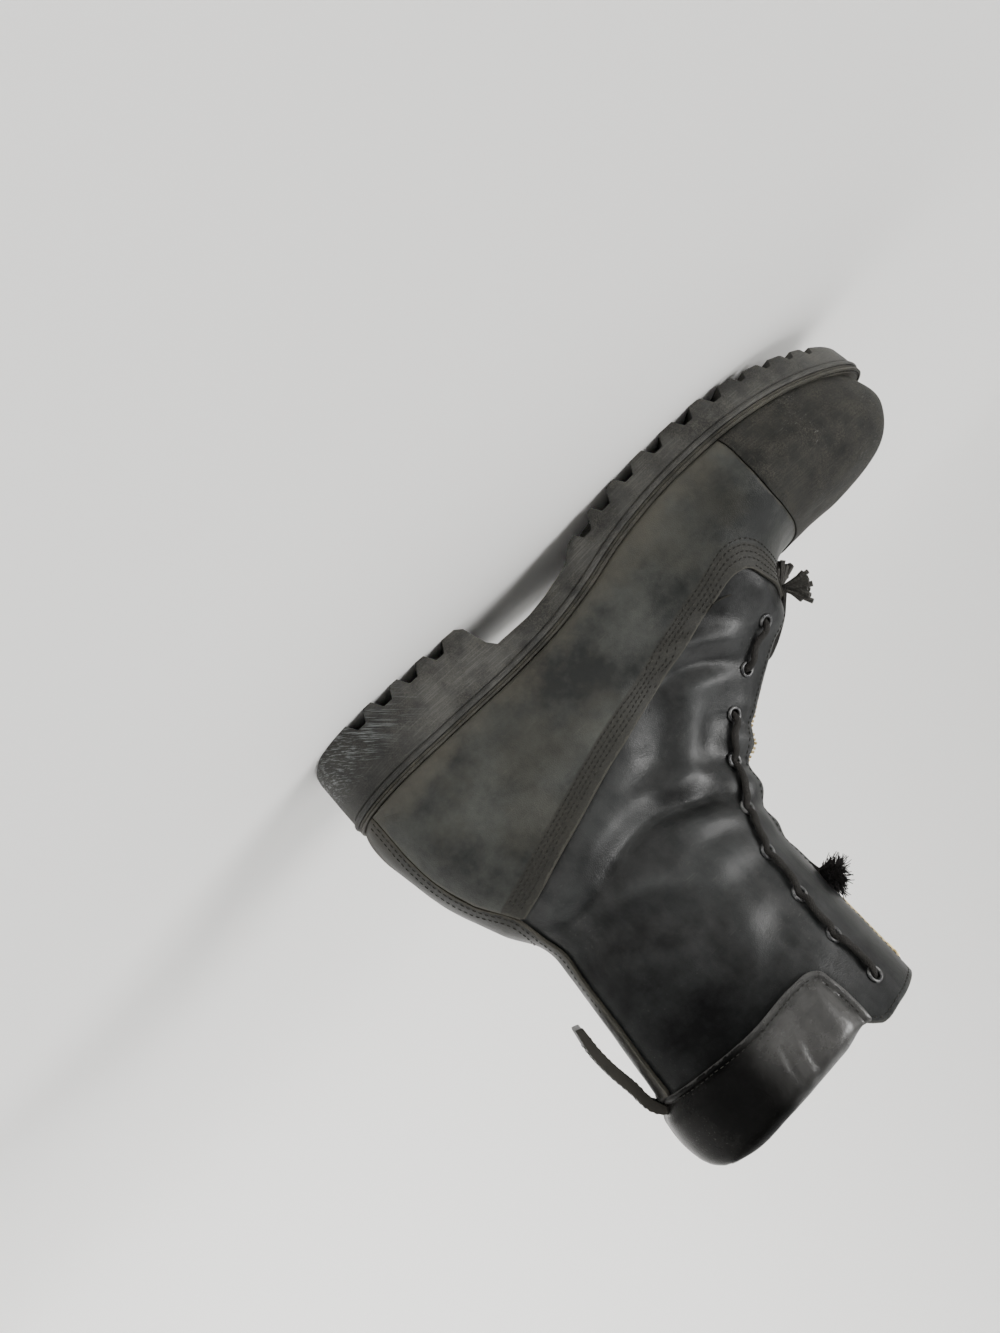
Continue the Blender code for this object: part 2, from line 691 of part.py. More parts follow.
def tube(name, points, radius, finish):
    """A round cord through the points, as a curve of straight pieces with closed ends."""
    curve = bpy.data.curves.new(name, "CURVE")
    curve.dimensions = "3D"
    curve.bevel_depth = radius * MM
    curve.bevel_resolution = 2
    curve.use_fill_caps = True
    spline = curve.splines.new("POLY")
    spline.points.add(len(points) - 1)
    for target, point in zip(spline.points, points):
        target.co = (*point, 1.0)
    return add_object(name, curve, finish)


def smooth_path(points, step):
    """Points every step along a smooth curve through a route given in metres."""
    route = [Vector(p) for p in points]
    lengths = [0.0]
    for a, b in zip(route, route[1:]):
        lengths.append(lengths[-1] + (b - a).length)
    table = np.array([(d, *p) for d, p in zip(lengths, route)])
    count = max(3, round(lengths[-1] / step) + 1)
    return [Vector([smooth(table, d, c) for c in (1, 2, 3)]) for d in np.linspace(0, lengths[-1], count)]


def eyelet(name, place, normal):
    bpy.ops.mesh.primitive_torus_add(
        major_segments=8, minor_segments=4, major_radius=EYELET_RADIUS * MM, minor_radius=EYELET_WIRE * MM,
    )
    mesh = bpy.context.object.data
    bpy.data.objects.remove(bpy.context.object)
    mesh.transform(Matrix.Diagonal((1, 1, EYELET_HEIGHT / 2 / EYELET_WIRE, 1)))
    made = add_object(name, mesh, BLACK_METAL)
    made.matrix_local = Matrix.Translation(place) @ normal.to_track_quat("Z", "Y").to_matrix().to_4x4()


def lace_run(tree, side, run):
    """Route of the lace over a run of eyelets: over each rim, and down on the leather between two."""
    over = 3 * CLEAR + EYELET_HEIGHT + LACE_RADIUS + LACE_SAG
    down = CLEAR + LACE_RADIUS
    route = []
    for (x0, z0), (x1, z1) in zip(run, run[1:]):
        route.append(eyelet_seat(tree, x0, z0, side, over)[0])
        for share in (0.38, 0.62):
            route.append(surface_point(tree, x0 + (x1 - x0) * share, z0 + (z1 - z0) * share, side, down)[0])
    route.append(eyelet_seat(tree, *run[-1], side, over)[0])
    return route


def make_lacing(last):
    """Eyelets on both sides, the lace's runs over them and its free ends."""
    tree = BVHTree.FromPolygons([v.co for v in last.vertices], [p.vertices for p in last.polygons])
    for side, label in ((1, "medial"), (-1, "lateral")):
        for number, (x, z) in enumerate(EYELETS, start=1):
            place, normal = eyelet_seat(tree, x, z, side, CLEAR + EYELET_HEIGHT / 2)
            eyelet(f"eyelet_{label}_{number}", place, normal)
        for part, run in (("low", EYELETS[:2]), ("high", EYELETS[2:])):
            path = smooth_path(lace_run(tree, side, run), 8 * MM)
            tube(f"lace_{part}_{label}", path, LACE_RADIUS, LACE_FINISH)
    for name, table in LACE_ENDS.items():
        route = []
        for x, y, z, lift in table:
            place, normal, _, _ = tree.find_nearest(Vector((x, y, z)) * MM)
            route.append(place + normal * lift * MM)
        tube(name, smooth_path(route, 8 * MM), LACE_RADIUS, LACE_FINISH)


def box(name, low, high, finish, bevel):
    """A block between two corners, with its edges bevelled."""
    low, high = Vector(low) * MM, Vector(high) * MM
    work = bmesh.new()
    bmesh.ops.create_cube(work, size=1.0)
    bmesh.ops.scale(work, vec=high - low, verts=work.verts)
    bmesh.ops.translate(work, vec=(high + low) / 2, verts=work.verts)
    mesh = bpy.data.meshes.new(name)
    work.to_mesh(mesh)
    work.free()
    obj = add_object(name, mesh, finish)
    edge = obj.modifiers.new("edges", "BEVEL")
    edge.width = bevel * MM
    edge.segments = 1
    return obj


def flat_curve(name, loops, thick):
    """A filled curve of closed loops, the inner ones being holes."""
    curve = bpy.data.curves.new(name, "CURVE")
    curve.dimensions = "2D"
    curve.fill_mode = "BOTH"
    curve.extrude = thick / 2 * MM
    for points in loops:
        spline = curve.splines.new("POLY")
        spline.points.add(len(points) - 1)
        spline.use_cyclic_u = True
        for target, (a, b) in zip(spline.points, points):
            target.co = (a * MM, b * MM, 0.0, 1.0)
    return curve


def flat_mesh(name, loops, thick):
    """The filled curve as one closed mesh that stands in the YZ plane."""
    flat = add_object("flat", flat_curve("flat", loops, thick))
    bpy.context.view_layer.update()
    mesh = bpy.data.meshes.new_from_object(flat.evaluated_get(bpy.context.evaluated_depsgraph_get()))
    bpy.data.objects.remove(flat)
    mesh.name = name
    work = bmesh.new()
    work.from_mesh(mesh)
    bmesh.ops.remove_doubles(work, verts=work.verts, dist=1e-6)
    upright = Matrix(((0, 0, 1), (1, 0, 0), (0, 1, 0))).to_4x4()
    bmesh.ops.transform(work, matrix=upright, verts=work.verts)
    bmesh.ops.recalc_face_normals(work, faces=work.faces)
    work.to_mesh(mesh)
    work.free()
    return mesh


def make_slider():
    """Zip slider with its bridge, and the pull tab that hangs from the bridge."""
    thick, wide, tall = SLIDER_SIZE
    below, above = SECTIONS[-2], SECTIONS[-1]
    front = float(np.interp(SLIDER_Z, [below[3], above[3]], [below[2], above[2]]))
    back = front - SLIDER_SINK
    face = back + thick
    reach = face + BRIDGE_REACH
    low, high = SLIDER_Z - tall / 2, SLIDER_Z + tall / 2
    slider = box("zip_slider", (back, -wide / 2, low), (face, wide / 2, high), BRASS, 0.6)
    arch = [(face - 1, low + 1.5), (reach - 1, low + 1.5), (reach, low + 2.5)]
    arch += [(reach, high - 2.5), (reach - 1, high - 1.5), (face - 1, high - 1.5)]
    bridge = slab("slider_bridge", arch, -BRIDGE_HALF, BRIDGE_HALF)
    under = reach - BRIDGE_WALL
    inside = [(face, low + 3), (under, low + 3), (under, high - 3), (face, high - 3)]
    cut(bridge, slab("slider_window", inside, -5, 5))
    cut(slider, bridge, "UNION")

    half = PULL_WIDTH / 2
    eye_half = half - 1.75
    plate = [
        (half, PULL_BAR), (-half, PULL_BAR), (-half, 3 - PULL_LENGTH), (1.6 - half, -PULL_LENGTH),
        (half - 1.6, -PULL_LENGTH), (half, 3 - PULL_LENGTH),
    ]
    eye = [(eye_half, -PULL_BAR), (eye_half, -PULL_EYE), (-eye_half, -PULL_EYE), (-eye_half, -PULL_BAR)]
    turns = np.linspace(0, 2 * math.pi, 10, endpoint=False)
    hole = [(1.5 * math.cos(a), 4.5 - PULL_LENGTH + 1.5 * math.sin(a)) for a in turns]
    pull = add_object("zip_pull", flat_mesh("zip_pull", (plate, eye, hole), PULL_THICK), BRASS)
    pull.location = Vector((face + (BRIDGE_REACH - BRIDGE_WALL) / 2, 0, low + 3 + CLEAR + PULL_BAR)) * MM


def make_strap():
    """Leather pull strap at the back, hanging free below the collar."""
    strap = add_object("pull_strap", flat_curve("pull_strap", (STRAP_SIDE,), STRAP_WIDTH), BLACK_LEATHER)
    strap.rotation_euler = (math.radians(90), 0, 0)


def main():
    clear_scene()
    for name in ("firefighter_boot", "cutters"):
        collection = bpy.data.collections.new(name)
        bpy.context.scene.collection.children.link(collection)
    frame = bpy.data.objects.new("boot_frame", None)
    bpy.data.collections["firefighter_boot"].objects.link(frame)
    last = last_surface()
    slab("above_rim", RIM + [(150, 260), (-10, 260)], -REACH, REACH)
    make_sole()
    make_upper(last)
    make_overlays(last)
    make_throat(last)
    make_lacing(last)
    make_slider()
    make_strap()
    widest = PLAN.max(axis=0)
    frame.location = Vector((-(SOLE_BACK + SOLE_TIP) / 2, (widest[2] - widest[1]) / 2, 0)) * MM


main()
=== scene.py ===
"""Looks of a worn leather firefighter boot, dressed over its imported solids.

Lengths are millimetres on the boot's own last until a mesh is made: x runs from the heel to the toe, y to
the medial side and z up from the floor. Last.place turns them into metres in the frame of the solids.
"""

import logging
import math
from dataclasses import dataclass, field
from enum import Enum
from functools import cache
from typing import Callable, Optional, Sequence

import bmesh
import bpy
import numpy as np
from mathutils import Matrix, Vector, noise
from mathutils.bvhtree import BVHTree

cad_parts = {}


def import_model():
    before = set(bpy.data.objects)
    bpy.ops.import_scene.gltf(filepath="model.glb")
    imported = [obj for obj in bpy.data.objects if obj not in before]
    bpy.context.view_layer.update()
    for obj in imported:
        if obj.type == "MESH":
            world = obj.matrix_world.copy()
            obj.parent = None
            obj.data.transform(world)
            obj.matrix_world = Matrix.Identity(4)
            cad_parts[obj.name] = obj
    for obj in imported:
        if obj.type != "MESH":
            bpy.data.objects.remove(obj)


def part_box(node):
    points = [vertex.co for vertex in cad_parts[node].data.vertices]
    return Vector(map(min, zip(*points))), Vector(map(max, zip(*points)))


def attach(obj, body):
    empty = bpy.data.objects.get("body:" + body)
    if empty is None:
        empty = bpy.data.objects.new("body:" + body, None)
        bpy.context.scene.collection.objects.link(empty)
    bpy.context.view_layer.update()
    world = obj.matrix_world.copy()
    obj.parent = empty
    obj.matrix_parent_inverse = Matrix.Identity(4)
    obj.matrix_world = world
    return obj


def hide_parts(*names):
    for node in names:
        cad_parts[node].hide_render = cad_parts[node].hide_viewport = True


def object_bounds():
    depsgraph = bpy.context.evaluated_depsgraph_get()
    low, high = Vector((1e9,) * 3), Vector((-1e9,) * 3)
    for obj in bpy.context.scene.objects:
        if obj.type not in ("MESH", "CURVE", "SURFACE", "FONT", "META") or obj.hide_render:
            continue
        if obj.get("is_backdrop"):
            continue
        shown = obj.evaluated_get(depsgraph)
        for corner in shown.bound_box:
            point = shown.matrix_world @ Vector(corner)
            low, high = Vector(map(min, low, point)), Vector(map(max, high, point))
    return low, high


LOG = logging.getLogger("boot")
MM = 0.001
CLEAR = 0.3

# Half widths of the sole's plan before its ends are rounded: x, medial, lateral.
PLAN = np.array([
    (-2, 37.0, 38.0), (60, 37.5, 38.5), (100, 35.0, 40.5), (125, 35.5, 44.0), (160, 45.5, 52.0),
    (200, 54.5, 58.0), (225, 56.0, 56.5), (250, 53.0, 51.5), (280, 46.0, 44.5), (316, 37.0, 37.0),
])
# Side view of the line where the upper meets the welt: x, z.
FEATHER = np.array([
    (-5, 34.2), (60, 33.6), (95, 32.6), (120, 30.4), (140, 27.0), (160, 22.6), (185, 19.6), (205, 19.0),
    (235, 20.0), (260, 22.6), (285, 26.6), (305, 30.6), (316, 33.0),
])
# Side view of the tread: x, z.
TREAD = np.array([
    (-0.6, 5.5), (2, 2.0), (8, 0.0), (88, 0.0), (93, 17.0), (113, 17.0), (125, 15.2), (139, 12.0),
    (146, 6.5), (158, 3.2), (170, 1.2), (182, 0.0), (222, 0.0), (238, 1.2), (262, 4.5), (285, 8.8),
    (303, 13.4), (316.3, 18.5),
])
# How far the upper stands in from the sole's edge: x, inset.
LEDGE = np.array([(-2, 3.6), (25, 2.8), (80, 2.0), (150, 4.0), (230, 4.5), (285, 5.5), (316, 8.5)])
# Sections of the last from toe tip over the heel to the collar: bottom x, bottom z (0 on the welt), top x,
# top z, medial and lateral half width, rise of the widest point, crown.
SECTIONS = np.array([
    (306.2, 0, 308.6, 44.5, 8.6, 8.6, 0.42, 2.4),
    (302.6, 0, 307.2, 49.0, 15.6, 15.4, 0.42, 2.4),
    (296.0, 0, 303.0, 54.0, 23.8, 23.4, 0.41, 2.4),
    (285.0, 0, 293.0, 61.0, 33.0, 32.0, 0.40, 2.4),
    (269.0, 0, 275.5, 64.2, 41.8, 40.5, 0.38, 2.3),
    (247.0, 0, 249.0, 64.6, 49.5, 48.4, 0.36, 2.2),
    (220.0, 0, 225.5, 66.0, 52.5, 54.0, 0.33, 2.0),
    (193.0, 0, 211.5, 74.5, 49.6, 53.8, 0.28, 1.9),
    (163.0, 0, 203.2, 90.6, 43.6, 49.8, 0.26, 1.9),
    (130.0, 0, 191.6, 97.0, 37.5, 44.0, 0.24, 1.9),
    (95.0, 0, 180.0, 103.4, 37.0, 41.0, 0.22, 1.9),
    (60.0, 0, 169.6, 109.8, 37.5, 39.5, 0.20, 1.9),
    (32.0, 0, 160.8, 115.4, 37.5, 39.0, 0.20, 1.9),
    (13.5, 0, 156.0, 119.4, 36.8, 38.2, 0.20, 1.9),
    (5.2, 0, 154.2, 121.0, 36.2, 37.6, 0.22, 1.9),
    (2.0, 50.0, 152.0, 122.6, 35.6, 37.0, 0.26, 1.9),
    (6.4, 78.0, 148.4, 125.2, 34.6, 36.0, 0.32, 1.9),
    (16.6, 104.0, 144.4, 129.0, 34.4, 35.4, 0.38, 2.0),
    (26.4, 122.0, 140.2, 136.6, 34.4, 35.4, 0.42, 2.0),
    (25.6, 145.0, 133.4, 151.5, 35.5, 36.5, 0.45, 2.1),
    (22.0, 176.0, 131.8, 176.0, 38.0, 39.0, 0.46, 2.2),
    (18.4, 206.0, 131.0, 208.0, 40.0, 41.0, 0.47, 2.2),
    (18.4, 234.0, 130.2, 236.0, 41.0, 42.0, 0.47, 2.2),
])
TOE_MIDDLE = -1  # where the last closes in front of its first section
LAST_SEATED = 14  # the last section that stands on the welt
COLLAR_TOP = 22  # the section at the collar

# Side-view lines of the panels: x, z.
CAP_SEAM = [
    (219, 12), (221.5, 25), (221.3, 38), (223, 50), (228.3, 59.5), (234, 64.5), (240, 67.5), (243, 80),
]
QUARTER_SEAM = [
    (26, 107.5), (37, 104.5), (52, 99.5), (69, 94.3), (97, 85.5), (131, 77.2), (158, 69.9),
    (173, 66.6), (191, 64.2), (195, 65.4), (199.5, 72), (205, 80), (209, 95),
]
STAY_SEAM = [
    (9, 28), (8.6, 45), (8.4, 58), (10, 73), (15, 89), (24, 105), (27, 115), (29, 125), (28.2, 139),
    (26.0, 160), (23.6, 180), (22.0, 197),
]
COLLAR_EDGE = [
    (-10, 195.2), (30, 197), (60, 198.2), (84, 197), (91.5, 198), (95, 200.8), (96.3, 206), (96.8, 240),
]
RIM = [
    (-10, 217), (13, 220), (16, 226), (20, 230), (28, 231.4), (50, 229.8), (80, 228), (96.8, 228),
    (98.5, 230.4), (112, 231.8), (131, 230.8), (150, 230),
]
THROAT = [
    (214, 69), (200, 75), (150, 101), (120, 128), (113, 160), (110, 240), (170, 240), (170, 160), (216, 120),
]
INSERT = [
    (206, 70), (160, 85), (128, 100), (108, 128), (104, 160), (104, 240), (170, 240), (170, 160), (216, 120),
]
EYELETS = [
    (189.7, 86.4), (169, 95.7), (151, 105.8), (136.5, 120.3), (124.8, 137.6), (117.1, 155.9),
    (113.6, 176.2), (111.3, 196.3), (111.8, 217.9),
]
STRAP_OUTER = [(15.0, 195.9), (14.3, 186), (13.0, 176), (12.6, 166), (13.6, 154.5)]
STRAP_INNER = [(11.9, 195.9), (11.3, 188), (9.8, 177), (9.4, 165), (11.2, 153.6)]

# Soft folds of the worn shaft in side view: points, height (a trough is negative), width.
FOLDS = [
    ([(164, 87), (155, 81.6), (141, 76.3), (129, 75.4), (120, 78), (112, 82)], -2.0, 4.2),
    ([(180, 82), (171, 80), (157, 74.6), (143, 71), (134, 71.5)], 1.5, 5.5),
    ([(156, 91), (146, 88), (135, 93.2), (125, 101.8), (117, 108.5), (110, 112)], 2.3, 6.0),
    ([(136, 85), (126, 88), (118, 92.5), (109, 98), (99, 102)], -1.2, 6.0),
    ([(108, 88), (98, 91), (86, 94.5), (74, 99.0), (64, 103.0), (54, 107), (42, 112), (32, 117)], 2.0, 7.5),
    ([(84, 108), (72, 111.5), (62, 115), (52, 119)], -0.6, 5.5),
    ([(125, 134), (119, 126.5), (107, 119), (95, 114.6), (86, 113.8), (74, 115.5), (60, 119)], -2.7, 4.8),
    ([(126, 138), (116, 133.5), (104, 129.5), (92, 128.5)], 1.5, 5.0),
    ([(121, 147), (109, 145), (98, 144), (88, 146), (80, 151)], 1.5, 6.5),
    ([(36, 130.5), (43, 132), (53, 137), (63, 143.4), (73, 149.8), (83, 153.6), (92, 154.6)], -2.3, 6.5),
    ([(97, 146), (93, 156), (89, 166), (84.5, 175), (79, 182)], 1.8, 7.5),
    ([(110, 178.8), (99, 179.7), (88, 182.6), (76, 184.8), (66, 182.5)], -0.9, 8.0),
    ([(40, 146), (48, 156), (55, 165), (60, 174)], 0.8, 8.0),
    ([(176, 76), (169, 83), (163, 90)], 0.7, 6.0),
    ([(66, 130), (76, 133), (88, 133.5), (100, 132)], 1.1, 4.4),
    ([(31, 118), (40, 121), (50, 121)], -1.0, 3.6),
]
# Wrinkles of the padded collar in side view: points, height, width.
COLLAR_FOLDS = [
    ([(58, 202), (54.6, 213), (51.8, 222), (51.8, 229)], -0.55, 2.1),
    ([(62.5, 202), (60, 211), (57.4, 220), (57, 229)], 0.35, 2.3),
    ([(65.5, 202), (64, 211), (62, 220), (61.6, 229)], -0.50, 2.0),
    ([(70, 204), (67.5, 213), (65.6, 222), (65, 230)], 0.28, 2.3),
    ([(73, 208), (70.2, 217), (68.2, 226), (68.2, 231)], -0.34, 2.0),
    ([(46, 200), (42, 209), (41, 219)], -0.3, 3.0),
    ([(30, 199), (33, 208), (30, 218)], 0.3, 4.0),
]


class Side(Enum):
    """The two sides of the boot, by the sign of y."""

    MEDIAL = 1
    LATERAL = -1

    @property
    def label(self) -> str:
        """The side as the names of pieces give it."""
        return self.name.lower()


class Role(Enum):
    """What carries a piece when the boot is posed."""

    BOOT = "boot"
    PULL = "zip_pull"


def between(t: np.ndarray, ends: Sequence[np.ndarray], slopes: Sequence[np.ndarray]) -> np.ndarray:
    """A curve from one value to another with given slopes, at shares t of the way."""
    near = (1 + 2 * t) * (1 - t) ** 2 * ends[0] + t * (1 - t) ** 2 * slopes[0]
    return near + t * t * (3 - 2 * t) * ends[1] - t * t * (1 - t) * slopes[1]


def hermite(table: np.ndarray, at: np.ndarray) -> np.ndarray:
    """Rows of a table between its own rows, on a curve with no corners.

    Args:
        table: one row for each whole number.
        at: the places asked for, of any shape.

    Returns:
        Rows of the same width, one for each place.
    """
    slopes = np.gradient(table, axis=0)
    k = np.clip(at.astype(int), 0, len(table) - 2)
    return between((at - k)[..., None], (table[k], table[k + 1]), (slopes[k], slopes[k + 1]))


def smooth(table: np.ndarray, x: np.ndarray, column: int = 1) -> np.ndarray:
    """A table's column at x, on a curve with no corners.

    Args:
        table: rows that start with their own x.
        x: the places asked for.
        column: which column is read.

    Returns:
        The column's value at each place.
    """
    xs, ys = table[:, 0], table[:, column]
    slopes = np.gradient(ys, xs)
    x = np.clip(np.asarray(x, float), xs[0], xs[-1])
    k = np.clip(np.searchsorted(xs, x) - 1, 0, len(xs) - 2)
    span = xs[k + 1] - xs[k]
    return between((x - xs[k]) / span, (ys[k], ys[k + 1]), (span * slopes[k], span * slopes[k + 1]))


def curve_through(points: Sequence[Sequence[float]], step: float) -> np.ndarray:
    """Points every step along a smooth curve.

    Args:
        points: the points it passes through.
        step: the distance between two points of the result.

    Returns:
        An array of points.
    """
    route = np.array(points, float)
    lengths = run_of(route)
    table = np.c_[lengths, route]
    places = np.linspace(0, lengths[-1], max(3, round(lengths[-1] / step) + 1))
    return np.stack([smooth(table, places, c) for c in range(1, table.shape[1])], axis=-1)


def run_of(points: np.ndarray) -> np.ndarray:
    """The length along a line of points at each of them."""
    return np.r_[0, np.cumsum(np.linalg.norm(np.diff(points, axis=0), axis=1))]


def spread(rows: np.ndarray, own: np.ndarray, places: np.ndarray) -> np.ndarray:
    """Rows that lie at their own places along a line, read at other places."""
    rows = np.asarray(rows)
    return np.stack([np.interp(places, own, rows[:, c]) for c in range(rows.shape[1])], axis=-1)


def evened(route: np.ndarray, times: int) -> np.ndarray:
    """A route whose inner points are moved towards their neighbours a few times."""
    for _ in range(times):
        route[1:-1] = (route[:-2] + 2 * route[1:-1] + route[2:]) / 4
    return route


def tube_faces(count: int, sides: int, first: int = 0) -> list:
    """Quads between rings of points, where one ring follows another."""
    return [(low + i, low + (i + 1) % sides, low + sides + (i + 1) % sides, low + sides + i)
            for low in range(first, first + (count - 1) * sides, sides) for i in range(sides)]


def ease(value: np.ndarray, low: float, high: float) -> np.ndarray:
    """A soft step from 0 at low to 1 at high."""
    t = np.clip((value - low) / (high - low), 0, 1)
    return t * t * (3 - 2 * t)


def to_line(line: np.ndarray, points: np.ndarray) -> tuple[np.ndarray, np.ndarray]:
    """Distance of points from an open line of straight pieces.

    Args:
        line: the line's points.
        points: the points that are measured.

    Returns:
        The distance, and where along the line the nearest point lies as a share of its pieces.
    """
    best = np.full(points.shape[:-1], 1e9)
    where = np.zeros(points.shape[:-1])
    for k, (a, b) in enumerate(zip(line[:-1], line[1:])):
        run = b - a
        t = np.clip(((points - a) @ run) / max(run @ run, 1e-12), 0, 1)
        gap = np.linalg.norm(points - a - t[..., None] * run, axis=-1)
        nearer = gap < best
        best = np.where(nearer, gap, best)
        where = np.where(nearer, (k + t) / (len(line) - 1), where)
    return best, where


def within(outline: np.ndarray, points: np.ndarray) -> np.ndarray:
    """Signed distance of points from a closed side-view outline, positive inside."""
    closed = np.vstack([outline, outline[:1]])
    gap, _ = to_line(closed, points)
    x, z = points[..., 0], points[..., 1]
    inside = np.zeros(points.shape[:-1], bool)
    for (ax, az), (bx, bz) in zip(closed[:-1], closed[1:]):
        if az != bz:
            crosses = (az > z) != (bz > z)
            inside ^= crosses & (x < (bx - ax) * (z - az) / (bz - az) + ax)
    return np.where(inside, gap, -gap)


@dataclass
class Plan:
    """The sole's outline seen from above."""

    back: float = -0.6
    tip: float = 316.3
    heel_round: float = 38.0
    toe_round: float = 76.0
    blunt: float = 2.4

    def half(self, x: np.ndarray, side: Side) -> np.ndarray:
        """Half width of the sole at x on one side."""
        heel = np.clip((self.back + self.heel_round - x) / self.heel_round, 0, 1)
        toe = np.clip((x - self.tip + self.toe_round) / self.toe_round, 0, 1)
        rounding = np.sqrt(1 - heel ** 2) * (1 - toe ** self.blunt) ** (1 / self.blunt)
        return smooth(PLAN, x, 1 if side is Side.MEDIAL else 2) * rounding

    def stations(self) -> np.ndarray:
        """x of the outline's points from toe to heel, close together at the round ends."""
        start = self.tip - self.toe_round
        toe = start + self.toe_round * np.cos(np.radians(np.r_[0, 2, 4, 7:84:4]))
        heel = self.back + self.heel_round * (1 - np.sin(np.radians(np.r_[3:87:5, 90])))
        middle = np.linspace(start + 3, self.back + self.heel_round + 1, 66)
        return np.concatenate([toe, middle, heel])

    def loop(self, inset: Callable[[np.ndarray], np.ndarray]) -> np.ndarray:
        """The closed outline, set in along its normal.

        Args:
            inset: the distance as a function of x.

        Returns:
            Points (x, y) from the toe over the medial side to the heel and back.
        """
        xs = self.stations()
        medial = np.c_[xs, self.half(xs, Side.MEDIAL)]
        lateral = np.c_[xs, -self.half(xs, Side.LATERAL)][-2:0:-1]
        points = np.vstack([medial, lateral])
        ahead = np.roll(points, -1, axis=0) - points
        behind = points - np.roll(points, 1, axis=0)
        tangent = ahead / np.linalg.norm(ahead, axis=1)[:, None]
        tangent += behind / np.linalg.norm(behind, axis=1)[:, None]
        tangent /= np.linalg.norm(tangent, axis=1)[:, None]
        outward = np.stack([tangent[:, 1], -tangent[:, 0]], axis=1)
        return points - outward * np.asarray(inset(points[:, 0]), float).reshape(-1, 1)

    def edge(self, inset: Callable[[np.ndarray], np.ndarray], side: Side) -> np.ndarray:
        """One side of the set-in outline in the order of x, as (x, y)."""
        loop = self.loop(inset)
        count = len(self.stations())
        half = loop[:count] if side is Side.MEDIAL else np.vstack([loop[:1], loop[:count - 2:-1]])
        return half[np.argsort(half[:, 0])]


def ledge(x: np.ndarray) -> np.ndarray:
    """How far the upper stands in from the sole's edge at x."""
    return np.interp(x, LEDGE[:, 0], LEDGE[:, 1])


def feather(x: np.ndarray) -> np.ndarray:
    """Height of the line where the upper meets the welt."""
    return smooth(FEATHER, x)


